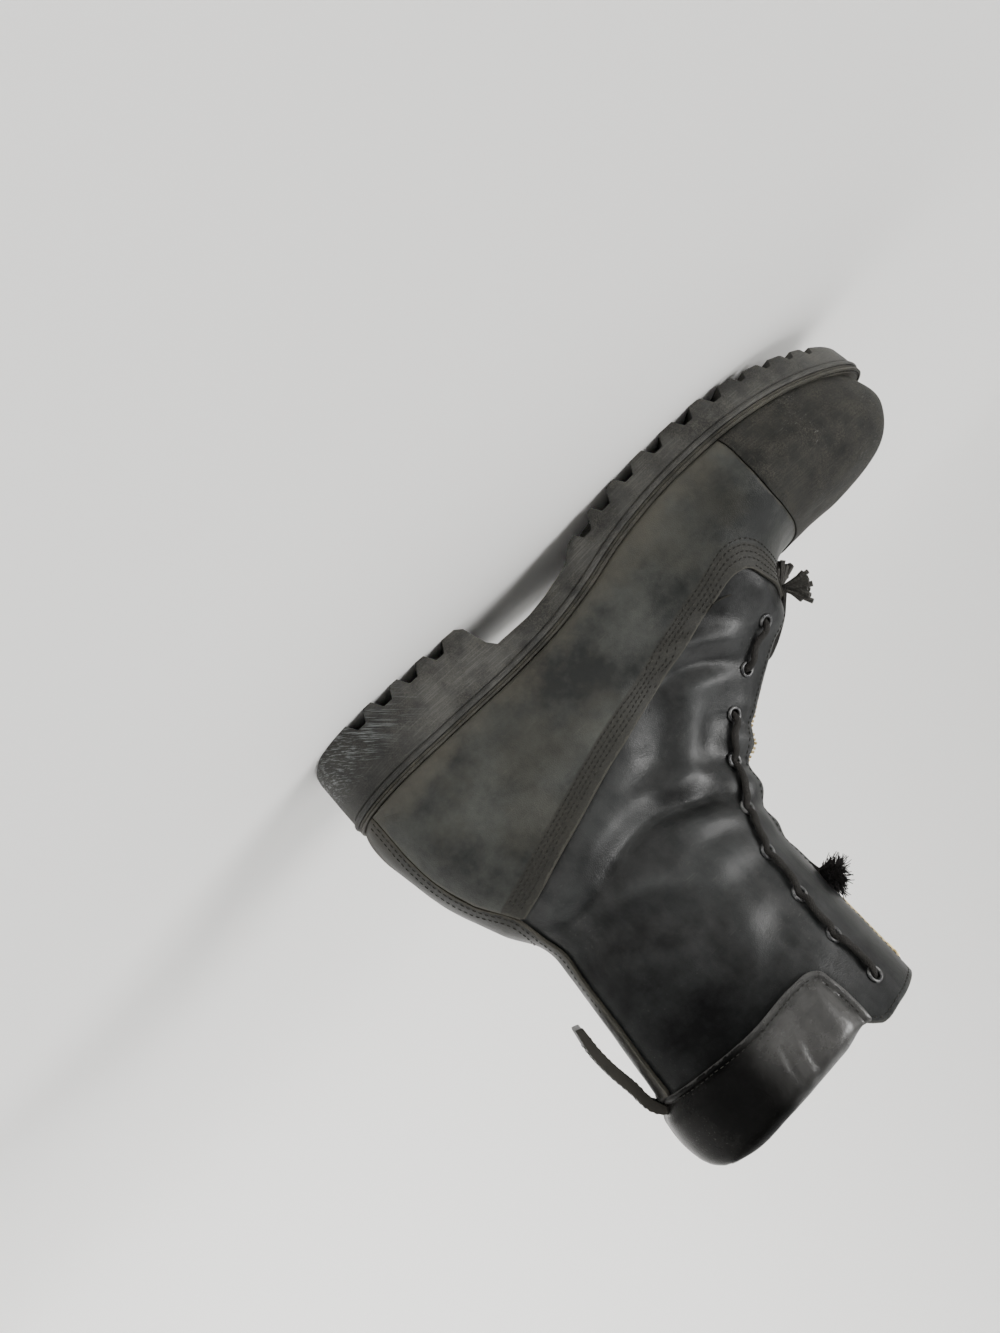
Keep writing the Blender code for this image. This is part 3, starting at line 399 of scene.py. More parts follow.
@dataclass
class Last:
    """The shape that every layer of leather is drawn over."""

    plan: Plan = field(default_factory=Plan)
    back_flat: float = 7.0
    cell: float = 1.25
    low_share: float = 0.375
    heel_bulge: float = 2.2
    toe_bulge: float = 1.6
    fair_reach: tuple[float, float] = (6.0, 20.0)
    fair_blur: float = 5.0
    shift: tuple[float, float] = (-157.85, 1.0)

    def __post_init__(self) -> None:
        """Fills in the heights of the sections on the welt, and the plan that the upper stands on."""
        self.table = SECTIONS.copy()
        seated = self.table[:, 1] == 0
        self.table[seated, 1] = feather(self.table[seated, 0])
        self.foot = {side: self.plan.edge(ledge, side) for side in Side}
        self.sides = {side: self.fairing(side) for side in Side}

    def place(self, points: np.ndarray) -> np.ndarray:
        """Points of the last in metres in the frame of the solids."""
        return (np.asarray(points, float) + [self.shift[0], self.shift[1], 0]) * MM

    def point(self, along: np.ndarray, around: np.ndarray) -> np.ndarray:
        """Points on the last, with its sides faired where the seated sections end above the ankle.

        Args:
            along: the section, as for a bare point.
            around: the place around the section.

        Returns:
            Points in millimetres.
        """
        along, around = np.broadcast_arrays(np.asarray(along, float), np.asarray(around, float))
        points = self.bare(along, around)
        near, _ = to_line(self.bare(LAST_SEATED, np.linspace(0, 1, 40))[:, [0, 2]], points[..., [0, 2]])
        up = 1 - np.abs(around)
        share = (1 - ease(near, *self.fair_reach)) * ease(up, 0.10, 0.24) * (1 - ease(up, 0.74, 0.90))
        for side in Side:
            chosen = (around * side.value > 0) & (share > 0)
            x, z = points[chosen][:, 0], points[chosen][:, 2]
            fair = side.value * self.fair_half(x, z, side)
            points[chosen, 1] += (fair - points[chosen, 1]) * share[chosen]
        return points

    def fair_half(self, x: np.ndarray, z: np.ndarray, side: Side) -> np.ndarray:
        """Half width of one side in side view, smoothed over a few millimetres."""
        grid = self.sides[side]
        u = np.clip(x / self.cell, 0, grid.shape[0] - 1.001)
        v = np.clip(z / self.cell, 0, grid.shape[1] - 1.001)
        i, j = u.astype(int), v.astype(int)
        s, t = u - i, v - j
        low = grid[i, j] * (1 - s) + grid[i + 1, j] * s
        high = grid[i, j + 1] * (1 - s) + grid[i + 1, j + 1] * s
        return low * (1 - t) + high * t

    def fairing(self, side: Side) -> np.ndarray:
        """The smoothed half widths of one side on a square grid in side view."""
        s, a = np.meshgrid(np.linspace(9, 19, 320), np.linspace(0.05, 0.97, 110), indexing="ij")
        points = self.bare(s, a * side.value).reshape(-1, 3)
        shape = (int(240 / self.cell), int(220 / self.cell))
        total, count = np.zeros(shape), np.zeros(shape)
        cells = np.round(points[:, [0, 2]] / self.cell).astype(int)
        good = (cells >= 0).all(axis=1) & (cells < shape).all(axis=1)
        np.add.at(total, tuple(cells[good].T), np.abs(points[good, 1]))
        np.add.at(count, tuple(cells[good].T), 1.0)
        mean, filled = total / np.maximum(count, 1), (count > 0).astype(float)
        kernel = np.exp(-(np.arange(-12, 13) * self.cell / self.fair_blur) ** 2)
        for axis in (0, 1):
            mean, filled = (np.apply_along_axis(lambda row: np.convolve(row, kernel, "same"), axis, field_)
                            for field_ in (mean, filled))
        return mean / np.maximum(filled, 1e-9)

    def bare(self, along: np.ndarray, around: np.ndarray) -> np.ndarray:
        """Points on the last as its sections give it.

        Args:
            along: the section, from -1 in the middle of the toe to 22 at the collar.
            around: 0 on the ridge, 1 at the medial bottom edge, -1 at the lateral one. Beyond them the
                flat down the back follows, whose middle is 1.2 and -1.2.

        Returns:
            Points in millimetres.
        """
        along, around = np.broadcast_arrays(np.asarray(along, float), np.asarray(around, float))
        s = np.clip(along, 0, len(self.table) - 1)
        row = hermite(self.table, s)
        low_x, low_z, top_x, top_z = (row[..., c] for c in range(4))
        seated = s <= LAST_SEATED
        low_z = np.where(seated, feather(low_x), low_z)
        medial = around >= 0
        foot = np.zeros_like(low_x)
        for side in Side:
            line = self.foot[side]
            half = np.interp(low_x, line[:, 0], np.abs(line[:, 1]))
            end = float(np.interp(self.table[LAST_SEATED, 0], line[:, 0], np.abs(line[:, 1])))
            rising = end + (self.back_flat - end) * ease(s, LAST_SEATED, LAST_SEATED + 1)
            foot = np.where(medial == (side is Side.MEDIAL), np.where(seated, half, rising), foot)
        widest = np.where(medial, row[..., 4], row[..., 5])
        rise, crown = row[..., 6], row[..., 7]
        up = np.clip(1 - np.abs(around), 0, 1)
        climb = np.clip(up / self.low_share, 0, 1) ** 1.25
        turn = np.clip((up - self.low_share) / (1 - self.low_share), 0, 1) * math.pi / 2
        low = up < self.low_share
        lower_half = foot + (widest - foot) * np.sqrt(np.clip(1 - (1 - climb) ** 2, 0, 1))
        upper_half = widest * np.clip(np.cos(turn), 0, 1) ** (2 / crown)
        share = np.where(low, rise * climb, rise + (1 - rise) * np.sin(turn) ** (2 / crown))
        half = np.where(low, lower_half, upper_half)
        back = np.clip((np.abs(around) - 1) / 0.2, 0, 1)
        toe = np.clip(-along, 0, 1)
        bulge = self.heel_bulge * (1 - ease(s, LAST_SEATED, LAST_SEATED + 1.6))
        x = low_x + (top_x - low_x) * share
        x = x - bulge * (1 - (1 - back) ** 2) + self.toe_bulge * (1 - (1 - toe) ** 2) * (1 - share ** 3)
        y = np.where(medial, 1, -1) * half * (1 - back) * (1 - toe)
        return np.stack([x, y, low_z + (top_z - low_z) * share], axis=-1)

    def steps(self, low: float, high: float, spacing: float, finest: int = 2) -> np.ndarray:
        """Places along the last about one spacing apart where the sections lie furthest apart.

        Args:
            low: the first section.
            high: the last section.
            spacing: the distance asked for.
            finest: the fewest steps from one section to the next.

        Returns:
            Section numbers, which hold each whole one between low and high.
        """
        places = [low]
        for k in range(math.floor(low), math.ceil(high)):
            a, b = max(low, k), min(high, k + 1)
            around = np.linspace(-1, 1, 9)
            gap = np.linalg.norm(self.point(a, around) - self.point(b, around), axis=-1).max()
            count = max(finest, math.ceil(gap / spacing))
            places += list(np.linspace(a, b, count + 1)[1:])
        return np.array(places)

    def rounds(self, spacing: float, half_girth: float, back: bool = True, reach: float = 1.0) -> np.ndarray:
        """Places around the last about one spacing apart, with the bottom edges among them."""
        count = math.ceil(half_girth * reach / spacing)
        side = np.linspace(0, reach, count + 1)[1:]
        if back:
            side = np.r_[side, 1 + np.linspace(0, 0.2, 5)[1:]]
        return np.r_[-side[::-1], 0, side]


@dataclass
class Creases:
    """The folds that wear has left in the leather, the same in every layer."""

    folds: Sequence[tuple] = field(default_factory=lambda: FOLDS)
    seed: float = 3.7
    share: float = 1.05
    stray: float = 3.0

    def __post_init__(self) -> None:
        """Draws each fold as a fine line."""
        self.lines = [(curve_through(points, 3.0), height, width) for points, height, width in self.folds]

    def fold_height(self, points: np.ndarray) -> np.ndarray:
        """Height of the folds over the last.

        Args:
            points: points on the last in millimetres.

        Returns:
            Millimetres outwards, negative in a trough.
        """
        flat = points[..., [0, 2]]
        y = points[..., 1]
        total = np.zeros(points.shape[:-1])
        for number, (line, height, width) in enumerate(self.lines):
            for side in Side:
                moved = line
                if side is Side.LATERAL:
                    moved = line + np.array([math.sin(number * 2.3), math.cos(number)]) * self.stray
                gap, where = to_line(moved, flat)
                taper = np.sin(np.pi * np.clip(where * 0.84 + 0.08, 0, 1)) ** 0.8
                swell = np.exp(-(gap / width) ** 2)
                shoulder = 0.38 * np.exp(-((gap - 2.1 * width) / (0.9 * width)) ** 2)
                fade = ease(y * side.value, 4, 14)
                total += self.share * height * (swell - shoulder) * taper * fade
        return total

    def unevenness(self, points: np.ndarray) -> np.ndarray:
        """A slow swell of worn leather, in millimetres."""
        flat = points.reshape(-1, 3)
        value = np.empty(len(flat))
        for k, (x, y, z) in enumerate(flat.tolist()):
            place = Vector((x / 26 + self.seed, y / 26, z / 26))
            value[k] = 0.5 * noise.noise(place) + 0.2 * noise.noise(place * 3.1)
        return value.reshape(points.shape[:-1])

    def pucker(self, points: np.ndarray) -> np.ndarray:
        """The throat's edges swell between two eyelets and are drawn in beside each."""
        line = np.array(EYELETS)
        gap, where = to_line(line, points[..., [0, 2]])
        beat = 0.5 - 0.5 * np.cos(2 * np.pi * where * (len(EYELETS) - 1))
        stretch = ease(where, 0.18, 0.3) * (1 - ease(where, 0.8, 0.9))
        near = 1 - ease(np.abs(points[..., 1]), 13, 21)
        reach = 13 + 7 * (1 - ease(np.abs(points[..., 1]), 6, 13))
        return (2.9 * beat - 0.9) * stretch * near * ease(reach - gap, 0, 8)

    def height(self, points: np.ndarray) -> np.ndarray:
        """All that stands over the last's own shape, in millimetres outwards."""
        seated = ease(points[..., 2] - feather(points[..., 0]), 2, 14)
        folds = self.fold_height(points) + self.unevenness(points) + self.pucker(points)
        return folds * seated


# ---------------------------------------------------------------- bench: meshes and tools


class Bench:
    """Tools that turn points into pieces. Every piece ends up at the origin with its place in its mesh."""

    @staticmethod
    def clear() -> None:
        """Takes everything out of the selection."""
        for obj in bpy.context.selected_objects:
            obj.select_set(False)

    @staticmethod
    def hold(obj: bpy.types.Object) -> None:
        """Makes one piece the only selected and active one."""
        Bench.clear()
        obj.select_set(True)
        bpy.context.view_layer.objects.active = obj

    @staticmethod
    def piece(name: str, points: np.ndarray, faces: Sequence[Sequence[int]]) -> bpy.types.Object:
        """A new piece from points in metres.

        Args:
            name: the piece's name.
            points: its points, in the frame of the solids.
            faces: its faces.

        Returns:
            The piece.
        """
        mesh = bpy.data.meshes.new(name)
        mesh.from_pydata(np.asarray(points, float).tolist(), [], [tuple(map(int, f)) for f in faces])
        mesh.update()
        obj = bpy.data.objects.new(name, mesh)
        bpy.context.scene.collection.objects.link(obj)
        return obj

    @staticmethod
    def tidy(obj: bpy.types.Object, merge: float = 1e-5, outward: bool = True) -> None:
        """Merges doubles and turns the faces outwards."""
        work = bmesh.new()
        work.from_mesh(obj.data)
        bmesh.ops.remove_doubles(work, verts=work.verts, dist=merge)
        bmesh.ops.dissolve_degenerate(work, edges=work.edges, dist=merge / 2)
        if outward:
            bmesh.ops.recalc_face_normals(work, faces=work.faces)
        work.to_mesh(obj.data)
        work.free()

    @staticmethod
    def apply(obj: bpy.types.Object, kind: str, **settings: object) -> None:
        """Adds a modifier with these settings and applies it."""
        Bench.hold(obj)
        modifier = obj.modifiers.new(kind.lower(), kind)
        for name, value in settings.items():
            setattr(modifier, name, value)
        bpy.ops.object.modifier_apply(modifier=modifier.name)

    @staticmethod
    def soften(obj: bpy.types.Object, width: float, segments: int, angle: float) -> None:
        """Rounds the edges sharper than an angle, by a width in millimetres."""
        Bench.apply(obj, "BEVEL", width=width * MM, segments=segments, limit_method="ANGLE",
                    angle_limit=math.radians(angle), use_clamp_overlap=True)

    @staticmethod
    def settle(obj: bpy.types.Object, angle: float = 40.0) -> None:
        """Moves the object's place into its mesh and smooths it up to an angle."""
        Bench.hold(obj)
        bpy.ops.object.transform_apply(location=True, rotation=True, scale=True)
        bpy.ops.object.shade_smooth_by_angle(angle=math.radians(angle))
        Bench.clear()

    @staticmethod
    def join(name: str, pieces: Sequence[bpy.types.Object]) -> bpy.types.Object:
        """Joins pieces into one."""
        Bench.clear()
        for obj in pieces:
            obj.select_set(True)
        bpy.context.view_layer.objects.active = pieces[0]
        bpy.ops.object.join()
        pieces[0].name = pieces[0].data.name = name
        Bench.clear()
        return pieces[0]

    @staticmethod
    def block(name: str, size: Sequence[float], at: Sequence[float]) -> bpy.types.Object:
        """A cube primitive of a size in metres, at a place, on its own in the selection."""
        Bench.clear()
        bpy.ops.mesh.primitive_cube_add(size=1.0, location=at)
        obj = bpy.context.object
        obj.name = obj.data.name = name
        obj.scale = size
        bpy.ops.object.transform_apply(location=True, rotation=True, scale=True)
        return obj

    @staticmethod
    def cut(obj: bpy.types.Object, cutter: bpy.types.Object, operation: str = "DIFFERENCE") -> None:
        """Cuts one piece with another, which is used up."""
        Bench.apply(obj, "BOOLEAN", operation=operation, solver="EXACT", use_self=True, object=cutter)
        bpy.data.objects.remove(cutter)

    @staticmethod
    def mark(obj: bpy.types.Object, name: str, values: np.ndarray) -> None:
        """Stores one number for each point of the mesh."""
        layer = obj.data.attributes.new(name, "FLOAT", "POINT")
        layer.data.foreach_set("value", np.asarray(values, np.float32))

    @staticmethod
    def dress(obj: bpy.types.Object, finishes: Sequence[bpy.types.Material]) -> None:
        """Gives the piece its materials, in the order of its slots."""
        obj.data.materials.clear()
        for finish in finishes:
            obj.data.materials.append(finish)

    @staticmethod
    def finish(obj: bpy.types.Object, angle: float, finishes: Sequence[bpy.types.Material], slot: str,
               nodes: Sequence[str] = (), role: Role = Role.BOOT) -> None:
        """Settles a piece, dresses it and hands it over."""
        Bench.settle(obj, angle)
        Bench.dress(obj, finishes)
        Bench.hand_over(obj, slot, nodes, role)

    @staticmethod
    def hand_over(obj: bpy.types.Object, slot: str, nodes: Sequence[str] = (),
                  role: Role = Role.BOOT) -> None:
        """Lets the piece ride on its body and hides the solids that it stands for."""
        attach(obj, role.value)
        if nodes:
            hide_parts(*nodes)
        LOG.info("%s: %d faces", obj.name, len(obj.data.polygons))


def point_normals(points: np.ndarray, faces: Sequence[Sequence[int]]) -> np.ndarray:
    """Unit normals of a mesh's points, weighted by the area of the faces around them."""
    normals = np.zeros_like(points)
    triangles = np.array([(f[0], f[k], f[k + 1]) for f in faces for k in range(1, len(f) - 1)])
    a, b, c = (points[triangles[:, k]] for k in range(3))
    cross = np.cross(b - a, c - a)
    for k in range(3):
        np.add.at(normals, triangles[:, k], cross)
    return normals / np.maximum(np.linalg.norm(normals, axis=1), 1e-12)[:, None]


@dataclass
class Pattern:
    """A layer cut from the last's skin: its points, faces and how far each point is from the cut edge."""

    base: np.ndarray
    normals: np.ndarray
    faces: list
    edge: np.ndarray

    def surface(self, lift: np.ndarray, creases: Optional[Creases]) -> np.ndarray:
        """The layer's outside, lifted over the last by a height for each point, in millimetres."""
        height = np.zeros(len(self.base)) + lift
        if creases:
            height = height + creases.height(self.base)
        normals = self.normals.copy()
        normals[:, 2] *= ease(self.base[:, 2] - feather(self.base[:, 0]), 0, 6)
        normals /= np.maximum(np.linalg.norm(normals, axis=1), 1e-9)[:, None]
        return self.base + normals * height[:, None]


@dataclass
class Net:
    """A net of places on the last, from which layers are cut and along which seams are found."""

    last: Last
    along: np.ndarray
    around: np.ndarray

    def __post_init__(self) -> None:
        """Lays the net out."""
        self.s, self.a = np.meshgrid(self.along, self.around, indexing="ij")
        self.points = self.last.point(self.s, self.a)
        low_s = np.minimum(self.s[:-1, :-1], self.s[1:, 1:])
        outer = np.minimum(np.abs(self.a[:-1, :-1]), np.abs(self.a[1:, 1:]))
        self.kept = (low_s >= LAST_SEATED) | (outer < 1 - 1e-6)

    @staticmethod
    def snapped(s: np.ndarray, a: np.ndarray, value: np.ndarray) -> tuple:
        """Moves points that lie close to the zero line onto it, so that no cell is cut to a sliver."""
        best = np.full(value.shape, 0.36)
        moved_s, moved_a, zero = s.copy(), a.copy(), np.zeros(value.shape, bool)
        for axis in (0, 1):
            for turn in (1, -1):
                other = np.roll(value, -turn, axis)
                share = value / np.where(value == other, 1e9, value - other)
                legal = (value > 0) != (other > 0)
                edge = [slice(None), slice(None)]
                edge[axis] = -1 if turn == 1 else 0
                legal[tuple(edge)] = False
                nearer = legal & (share < best) & (share >= 0)
                best = np.where(nearer, share, best)
                moved_s = np.where(nearer, s + (np.roll(s, -turn, axis) - s) * share, moved_s)
                moved_a = np.where(nearer, a + (np.roll(a, -turn, axis) - a) * share, moved_a)
                zero |= nearer
        return moved_s, moved_a, np.where(zero, 0.0, value)

    def cut(self, inside: Callable[[np.ndarray], np.ndarray]) -> Pattern:
        """Cuts a layer.

        Args:
            inside: signed distance from the pattern's edge for points on the last, positive inside.

        Returns:
            The layer.
        """
        s, a, value = self.snapped(self.s, self.a, inside(self.points))
        rows, columns = value.shape
        index = np.arange(rows * columns).reshape(rows, columns)
        cells = [index[:-1, :-1], index[:-1, 1:], index[1:, 1:], index[1:, :-1]]
        corners = np.stack(cells, axis=-1)[self.kept]
        flat_value, flat_s, flat_a = value.ravel(), list(s.ravel()), list(a.ravel())
        signs = flat_value[corners]
        whole = (signs >= 0).all(axis=1) & (signs > 0).any(axis=1)
        faces = [tuple(quad) for quad in corners[whole]]
        made: dict = {}
        for quad in corners[~whole & (signs > 0).any(axis=1)]:
            face = []
            for p, q in zip(quad, np.roll(quad, -1)):
                vp, vq = flat_value[p], flat_value[q]
                if vp >= 0:
                    face.append(p)
                if vp * vq < 0:
                    key = (min(p, q), max(p, q))
                    if key not in made:
                        share = vp / (vp - vq)
                        made[key] = len(flat_s)
                        flat_s.append(flat_s[p] + (flat_s[q] - flat_s[p]) * share)
                        flat_a.append(flat_a[p] + (flat_a[q] - flat_a[p]) * share)
                    face.append(made[key])
            if len(face) > 2:
                faces.append(tuple(face))
        edge = np.r_[flat_value, np.zeros(len(flat_s) - flat_value.size)]
        return self.gathered(np.array(flat_s), np.array(flat_a), faces, edge)

    def gathered(self, s: np.ndarray, a: np.ndarray, faces: list, edge: np.ndarray) -> Pattern:
        """Leaves out unused points and merges those that share a place."""
        points = self.last.point(s, a)
        used = np.unique(np.concatenate([np.array(f) for f in faces]))
        _, first, back = np.unique(
            np.round(points[used], 2), axis=0, return_index=True, return_inverse=True)
        number = np.zeros(len(points), int)
        number[used] = back.reshape(-1)
        kept = []
        for face in faces:
            clean = list(dict.fromkeys(number[list(face)].tolist()))
            if len(clean) > 2:
                kept.append(tuple(clean))
        chosen = used[first]
        base = points[chosen]
        return Pattern(base, point_normals(base, kept), kept, edge[chosen])

    def seam(self, value: np.ndarray, mask: np.ndarray) -> list:
        """Lines over the net along which a value is zero.

        Args:
            value: a number for each place of the net.
            mask: which places the lines may pass.

        Returns:
            Lines as arrays of points on the last in millimetres, each in order.
        """
        links: dict = {}
        place: dict = {}
        around = [value[:-1, :-1], value[1:, :-1], value[:-1, 1:], value[1:, 1:]]
        crossing = (np.minimum.reduce(around) < 0) & (np.maximum.reduce(around) >= 0)
        crossing &= self.kept & mask[:-1, :-1] & mask[1:, 1:]
        for i, j in zip(*np.nonzero(crossing)):
            cell = [(i, j), (i, j + 1), (i + 1, j + 1), (i + 1, j)]
            hits = []
            for p, q in zip(cell, cell[1:] + cell[:1]):
                if (value[p] < 0) != (value[q] < 0):
                    key = (min(p, q), max(p, q))
                    share = value[key[0]] / (value[key[0]] - value[key[1]])
                    place[key] = tuple(f[key[0]] + (f[key[1]] - f[key[0]]) * share for f in (self.s, self.a))
                    hits.append(key)
            for p, q in zip(hits[::2], hits[1::2]):
                links.setdefault(p, []).append(q)
                links.setdefault(q, []).append(p)
        lines, seen = [], set()
        ends = [k for k, v in links.items() if len(v) == 1]
        for start in ends + list(links):
            if start in seen:
                continue
            line, here = [], start
            while here is not None:
                seen.add(here)
                line.append(place[here])
                here = next((n for n in links[here] if n not in seen), None)
            if len(line) > 3:
                lines.append(self.last.point(*np.array(line).T))
        return lines


@dataclass
class Needle:
    """Sews: lays short raised stitches along lines on a layer."""

    pitch: float = 3.0
    length: float = 2.1
    radius: float = 0.36

    def stitch(self) -> tuple[np.ndarray, list]:
        """One stitch along x as points in millimetres and faces."""
        half = [(0.0, 1.0, 0.3), (0.36, 0.85, 0.05), (0.5, 0.25, -0.5)]
        rings = [(-share, wide, up) for share, wide, up in half[:0:-1]] + half
        points = []
        for share, wide, up in rings:
            for turn in np.linspace(0, 2 * math.pi, 6, endpoint=False):
                y, z = math.cos(turn) * self.radius * wide, math.sin(turn) * self.radius * wide
                points.append((share * self.length, y, z + up * self.radius))
        return np.array(points), [tuple(range(5, -1, -1)), tuple(range(24, 30))] + tube_faces(5, 6)

    def sew(self, lines: Sequence[np.ndarray], cloth: BVHTree) -> tuple[np.ndarray, list]:
        """Stitches along lines of points over a layer.

        Args:
            lines: points in millimetres near the layer.
            cloth: the layer's outside in millimetres.

        Returns:
            Points in millimetres and faces of all the stitches.
        """
        shape, shape_faces = self.stitch()
        points, faces = [], []
        for line in lines:
            lengths = run_of(line)
            starts = np.arange(self.pitch / 2, lengths[-1] - self.pitch / 2, self.pitch)
            for number, start in enumerate(starts):
                ends = spread(line, lengths, start + np.array([-1, 0, 1]))
                found = [cloth.find_nearest(Vector(end)) for end in ends]
                if any(hit[0] is None for hit in found):
                    continue
                ahead = (found[2][0] - found[0][0]).normalized()
                normal = found[1][1]
                across = normal.cross(ahead).normalized()
                tilt = 0.06 * math.sin(number * 2.4)
                ahead = (ahead + across * tilt).normalized()
                frame = np.array([ahead, normal.cross(ahead).normalized(), normal])
                base = len(points) * len(shape)
                points.append(shape @ frame + np.array(found[1][0]))
                faces += [tuple(base + i for i in face) for face in shape_faces]
        return np.concatenate(points), faces


def sweep(route: np.ndarray, radii: np.ndarray, ups: np.ndarray, sides: int, flat: float) -> tuple:
    """A closed tube along a route.

    Args:
        route: the points it follows.
        radii: its radius at each point.
        ups: the direction in which the tube is flattened, at each point.
        sides: how many points go round it.
        flat: its height as a share of its width.

    Returns:
        Points, faces and the length along the route of each point.
    """
    count = len(route)
    ahead = np.gradient(route, axis=0)
    ahead /= np.linalg.norm(ahead, axis=1)[:, None]
    across = np.cross(ahead, ups)
    across /= np.maximum(np.linalg.norm(across, axis=1), 1e-9)[:, None]
    up = np.cross(across, ahead)
    lengths = run_of(route)
    turns = np.linspace(0, 2 * math.pi, sides, endpoint=False)
    ring = across[:, None] * np.cos(turns)[:, None] + up[:, None] * np.sin(turns)[:, None] * flat
    points = (route[:, None] + ring * radii[:, None, None]).reshape(-1, 3)
    ends = [tuple(range(sides - 1, -1, -1)), tuple(range((count - 1) * sides, count * sides))]
    return points, ends + tube_faces(count, sides), np.repeat(lengths, sides)


def unrolled(obj: bpy.types.Object, sides: int, lengths: np.ndarray) -> None:
    """Gives a tube a UV map: round it from 0 to 1, and along it in millimetres."""
    layer = obj.data.uv_layers.new(name="run")
    for polygon in obj.data.polygons:
        turns = [obj.data.loops[i].vertex_index % sides for i in polygon.loop_indices]
        wraps = max(turns) - min(turns) > sides // 2
        for loop, turn in zip(polygon.loop_indices, turns):
            share = (turn + sides if wraps and turn < sides // 2 else turn) / sides
            layer.data[loop].uv = (share, lengths[obj.data.loops[loop].vertex_index])


# ---------------------------------------------------------------- finishes


@dataclass(frozen=True)
class Wire:
    """One output in a node tree. Wires add and multiply through Math nodes."""

    board: "Board"
    socket: bpy.types.NodeSocket

    def __add__(self, other: object) -> "Wire":
        """The sum."""
        return self.board.number("ADD", self, other)

    def __sub__(self, other: object) -> "Wire":
        """The difference."""
        return self.board.number("SUBTRACT", self, other)

    def __mul__(self, other: object) -> "Wire":
        """The product."""
        return self.board.number("MULTIPLY", self, other)

    def __truediv__(self, other: object) -> "Wire":
        """The quotient."""
        return self.board.number("DIVIDE", self, other)


class Board:
    """Lays out one node tree, with short names for the nodes it uses."""

    def __init__(self, tree: bpy.types.NodeTree) -> None:
        """Takes the tree."""
        self.tree = tree

    def fill(self, node: bpy.types.Node, sockets: dict) -> None:
        """Links each named socket to a wire, or sets it to a plain value."""
        for name, value in sockets.items():
            if isinstance(value, Wire):
                self.tree.links.new(value.socket, node.inputs[name])
            else:
                node.inputs[name].default_value = value

    def node(self, kind: str, sockets: Optional[dict] = None, **settings: object) -> bpy.types.Node:
        """A node with its settings, and its sockets set to a value or linked."""
        made = self.tree.nodes.new(f"ShaderNode{kind}")
        for name, value in settings.items():
            setattr(made, name, value)
        self.fill(made, sockets or {})
        return made

    def out(self, kind: str, sockets: Optional[dict] = None, output: object = 0, **settings: object) -> Wire:
        """One output of a new node."""
        return Wire(self, self.node(kind, sockets, **settings).outputs[output])

    def places(self) -> Wire:
        """Object coordinates in millimetres."""
        coords = self.out("TexCoord", output="Object")
        return self.out("Mapping", {"Vector": coords, "Scale": (1000, 1000, 1000)})

    def stretched(self, vector: Wire, scale: tuple, turn: tuple = (0.0, 0.0, 0.0)) -> Wire:
        """A vector turned and scaled."""
        return self.out("Mapping", {"Vector": vector, "Scale": scale, "Rotation": turn})

    def noise(self, vector: Wire, scale: object, detail: float = 3.0, rough: float = 0.5) -> Wire:
        """A noise value."""
        return self.out("TexNoise", {"Vector": vector, "Scale": scale, "Detail": detail, "Roughness": rough})

    def number(self, operation: str, a: object, b: object = 0.0) -> Wire:
        """Arithmetic on two values."""
        return self.out("Math", {0: a, 1: b}, operation=operation)

    def soft(self, value: Wire, low: float, high: float, start: float = 0.0, end: float = 1.0) -> Wire:
        """A soft step from start at low to end at high."""
        sockets = {"Value": value, 1: low, 2: high, 3: start, 4: end}
        return self.out("MapRange", sockets, interpolation_type="SMOOTHSTEP")

    def blend(self, share: Wire, a: object, b: object) -> Wire:
        """A colour between two."""
        return self.out("Mix", {0: share, 6: a, 7: b}, output=2, data_type="RGBA", blend_type="MIX")

    def value(self, name: str) -> Wire:
        """A number stored on the mesh."""
        return self.out("Attribute", output="Fac", attribute_name=name)

    def axes(self, vector: Wire) -> list:
        """The three numbers of a vector."""
        return [Wire(self, out) for out in self.node("SeparateXYZ", {"Vector": vector}).outputs]

    def bump(self, height: Wire, relief: float, strength: float = 1.0) -> Wire:
        """A normal from a height, whose relief is given in millimetres."""
        return self.out("Bump", {"Height": height, "Strength": strength, "Distance": relief * MM})

    def effect(self, group: bpy.types.NodeTree, sockets: dict) -> Wire:
        """The output of a shared effect."""
        made = self.tree.nodes.new("ShaderNodeGroup")
        made.node_tree = group
        self.fill(made, sockets)
        return Wire(self, made.outputs[0])


def shared(name: str, **inputs: Optional[float]) -> Callable:
    """Makes an effect that several finishes share out of a function that lays its nodes out.

    Args:
        name: the effect's name.
        **inputs: its inputs, each with its usual number, or None for a vector.

    Returns:
        A decorator. The decorated function gives the node group, which is built once.
    """
    def decorate(draw: Callable[[Board, dict], Wire]) -> Callable[[], bpy.types.NodeTree]:
        """Wraps the function that draws the effect."""
        @cache
        def group() -> bpy.types.NodeTree:
            """Builds the group with one output."""
            tree = bpy.data.node_groups.new(name, "ShaderNodeTree")
            for key, value in inputs.items():
                kind = "NodeSocketVector" if value is None else "NodeSocketFloat"
                socket = tree.interface.new_socket(name=key, in_out="INPUT", socket_type=kind)
                if value is not None:
                    socket.default_value = value
            tree.interface.new_socket(name="Mask", in_out="OUTPUT", socket_type="NodeSocketFloat")
            start = tree.nodes.new("NodeGroupInput")
            end = tree.nodes.new("NodeGroupOutput")
            board = Board(tree)
            board.fill(end, {0: draw(board, {s.name: Wire(board, s) for s in start.outputs})})
            return tree
        return group
    return decorate


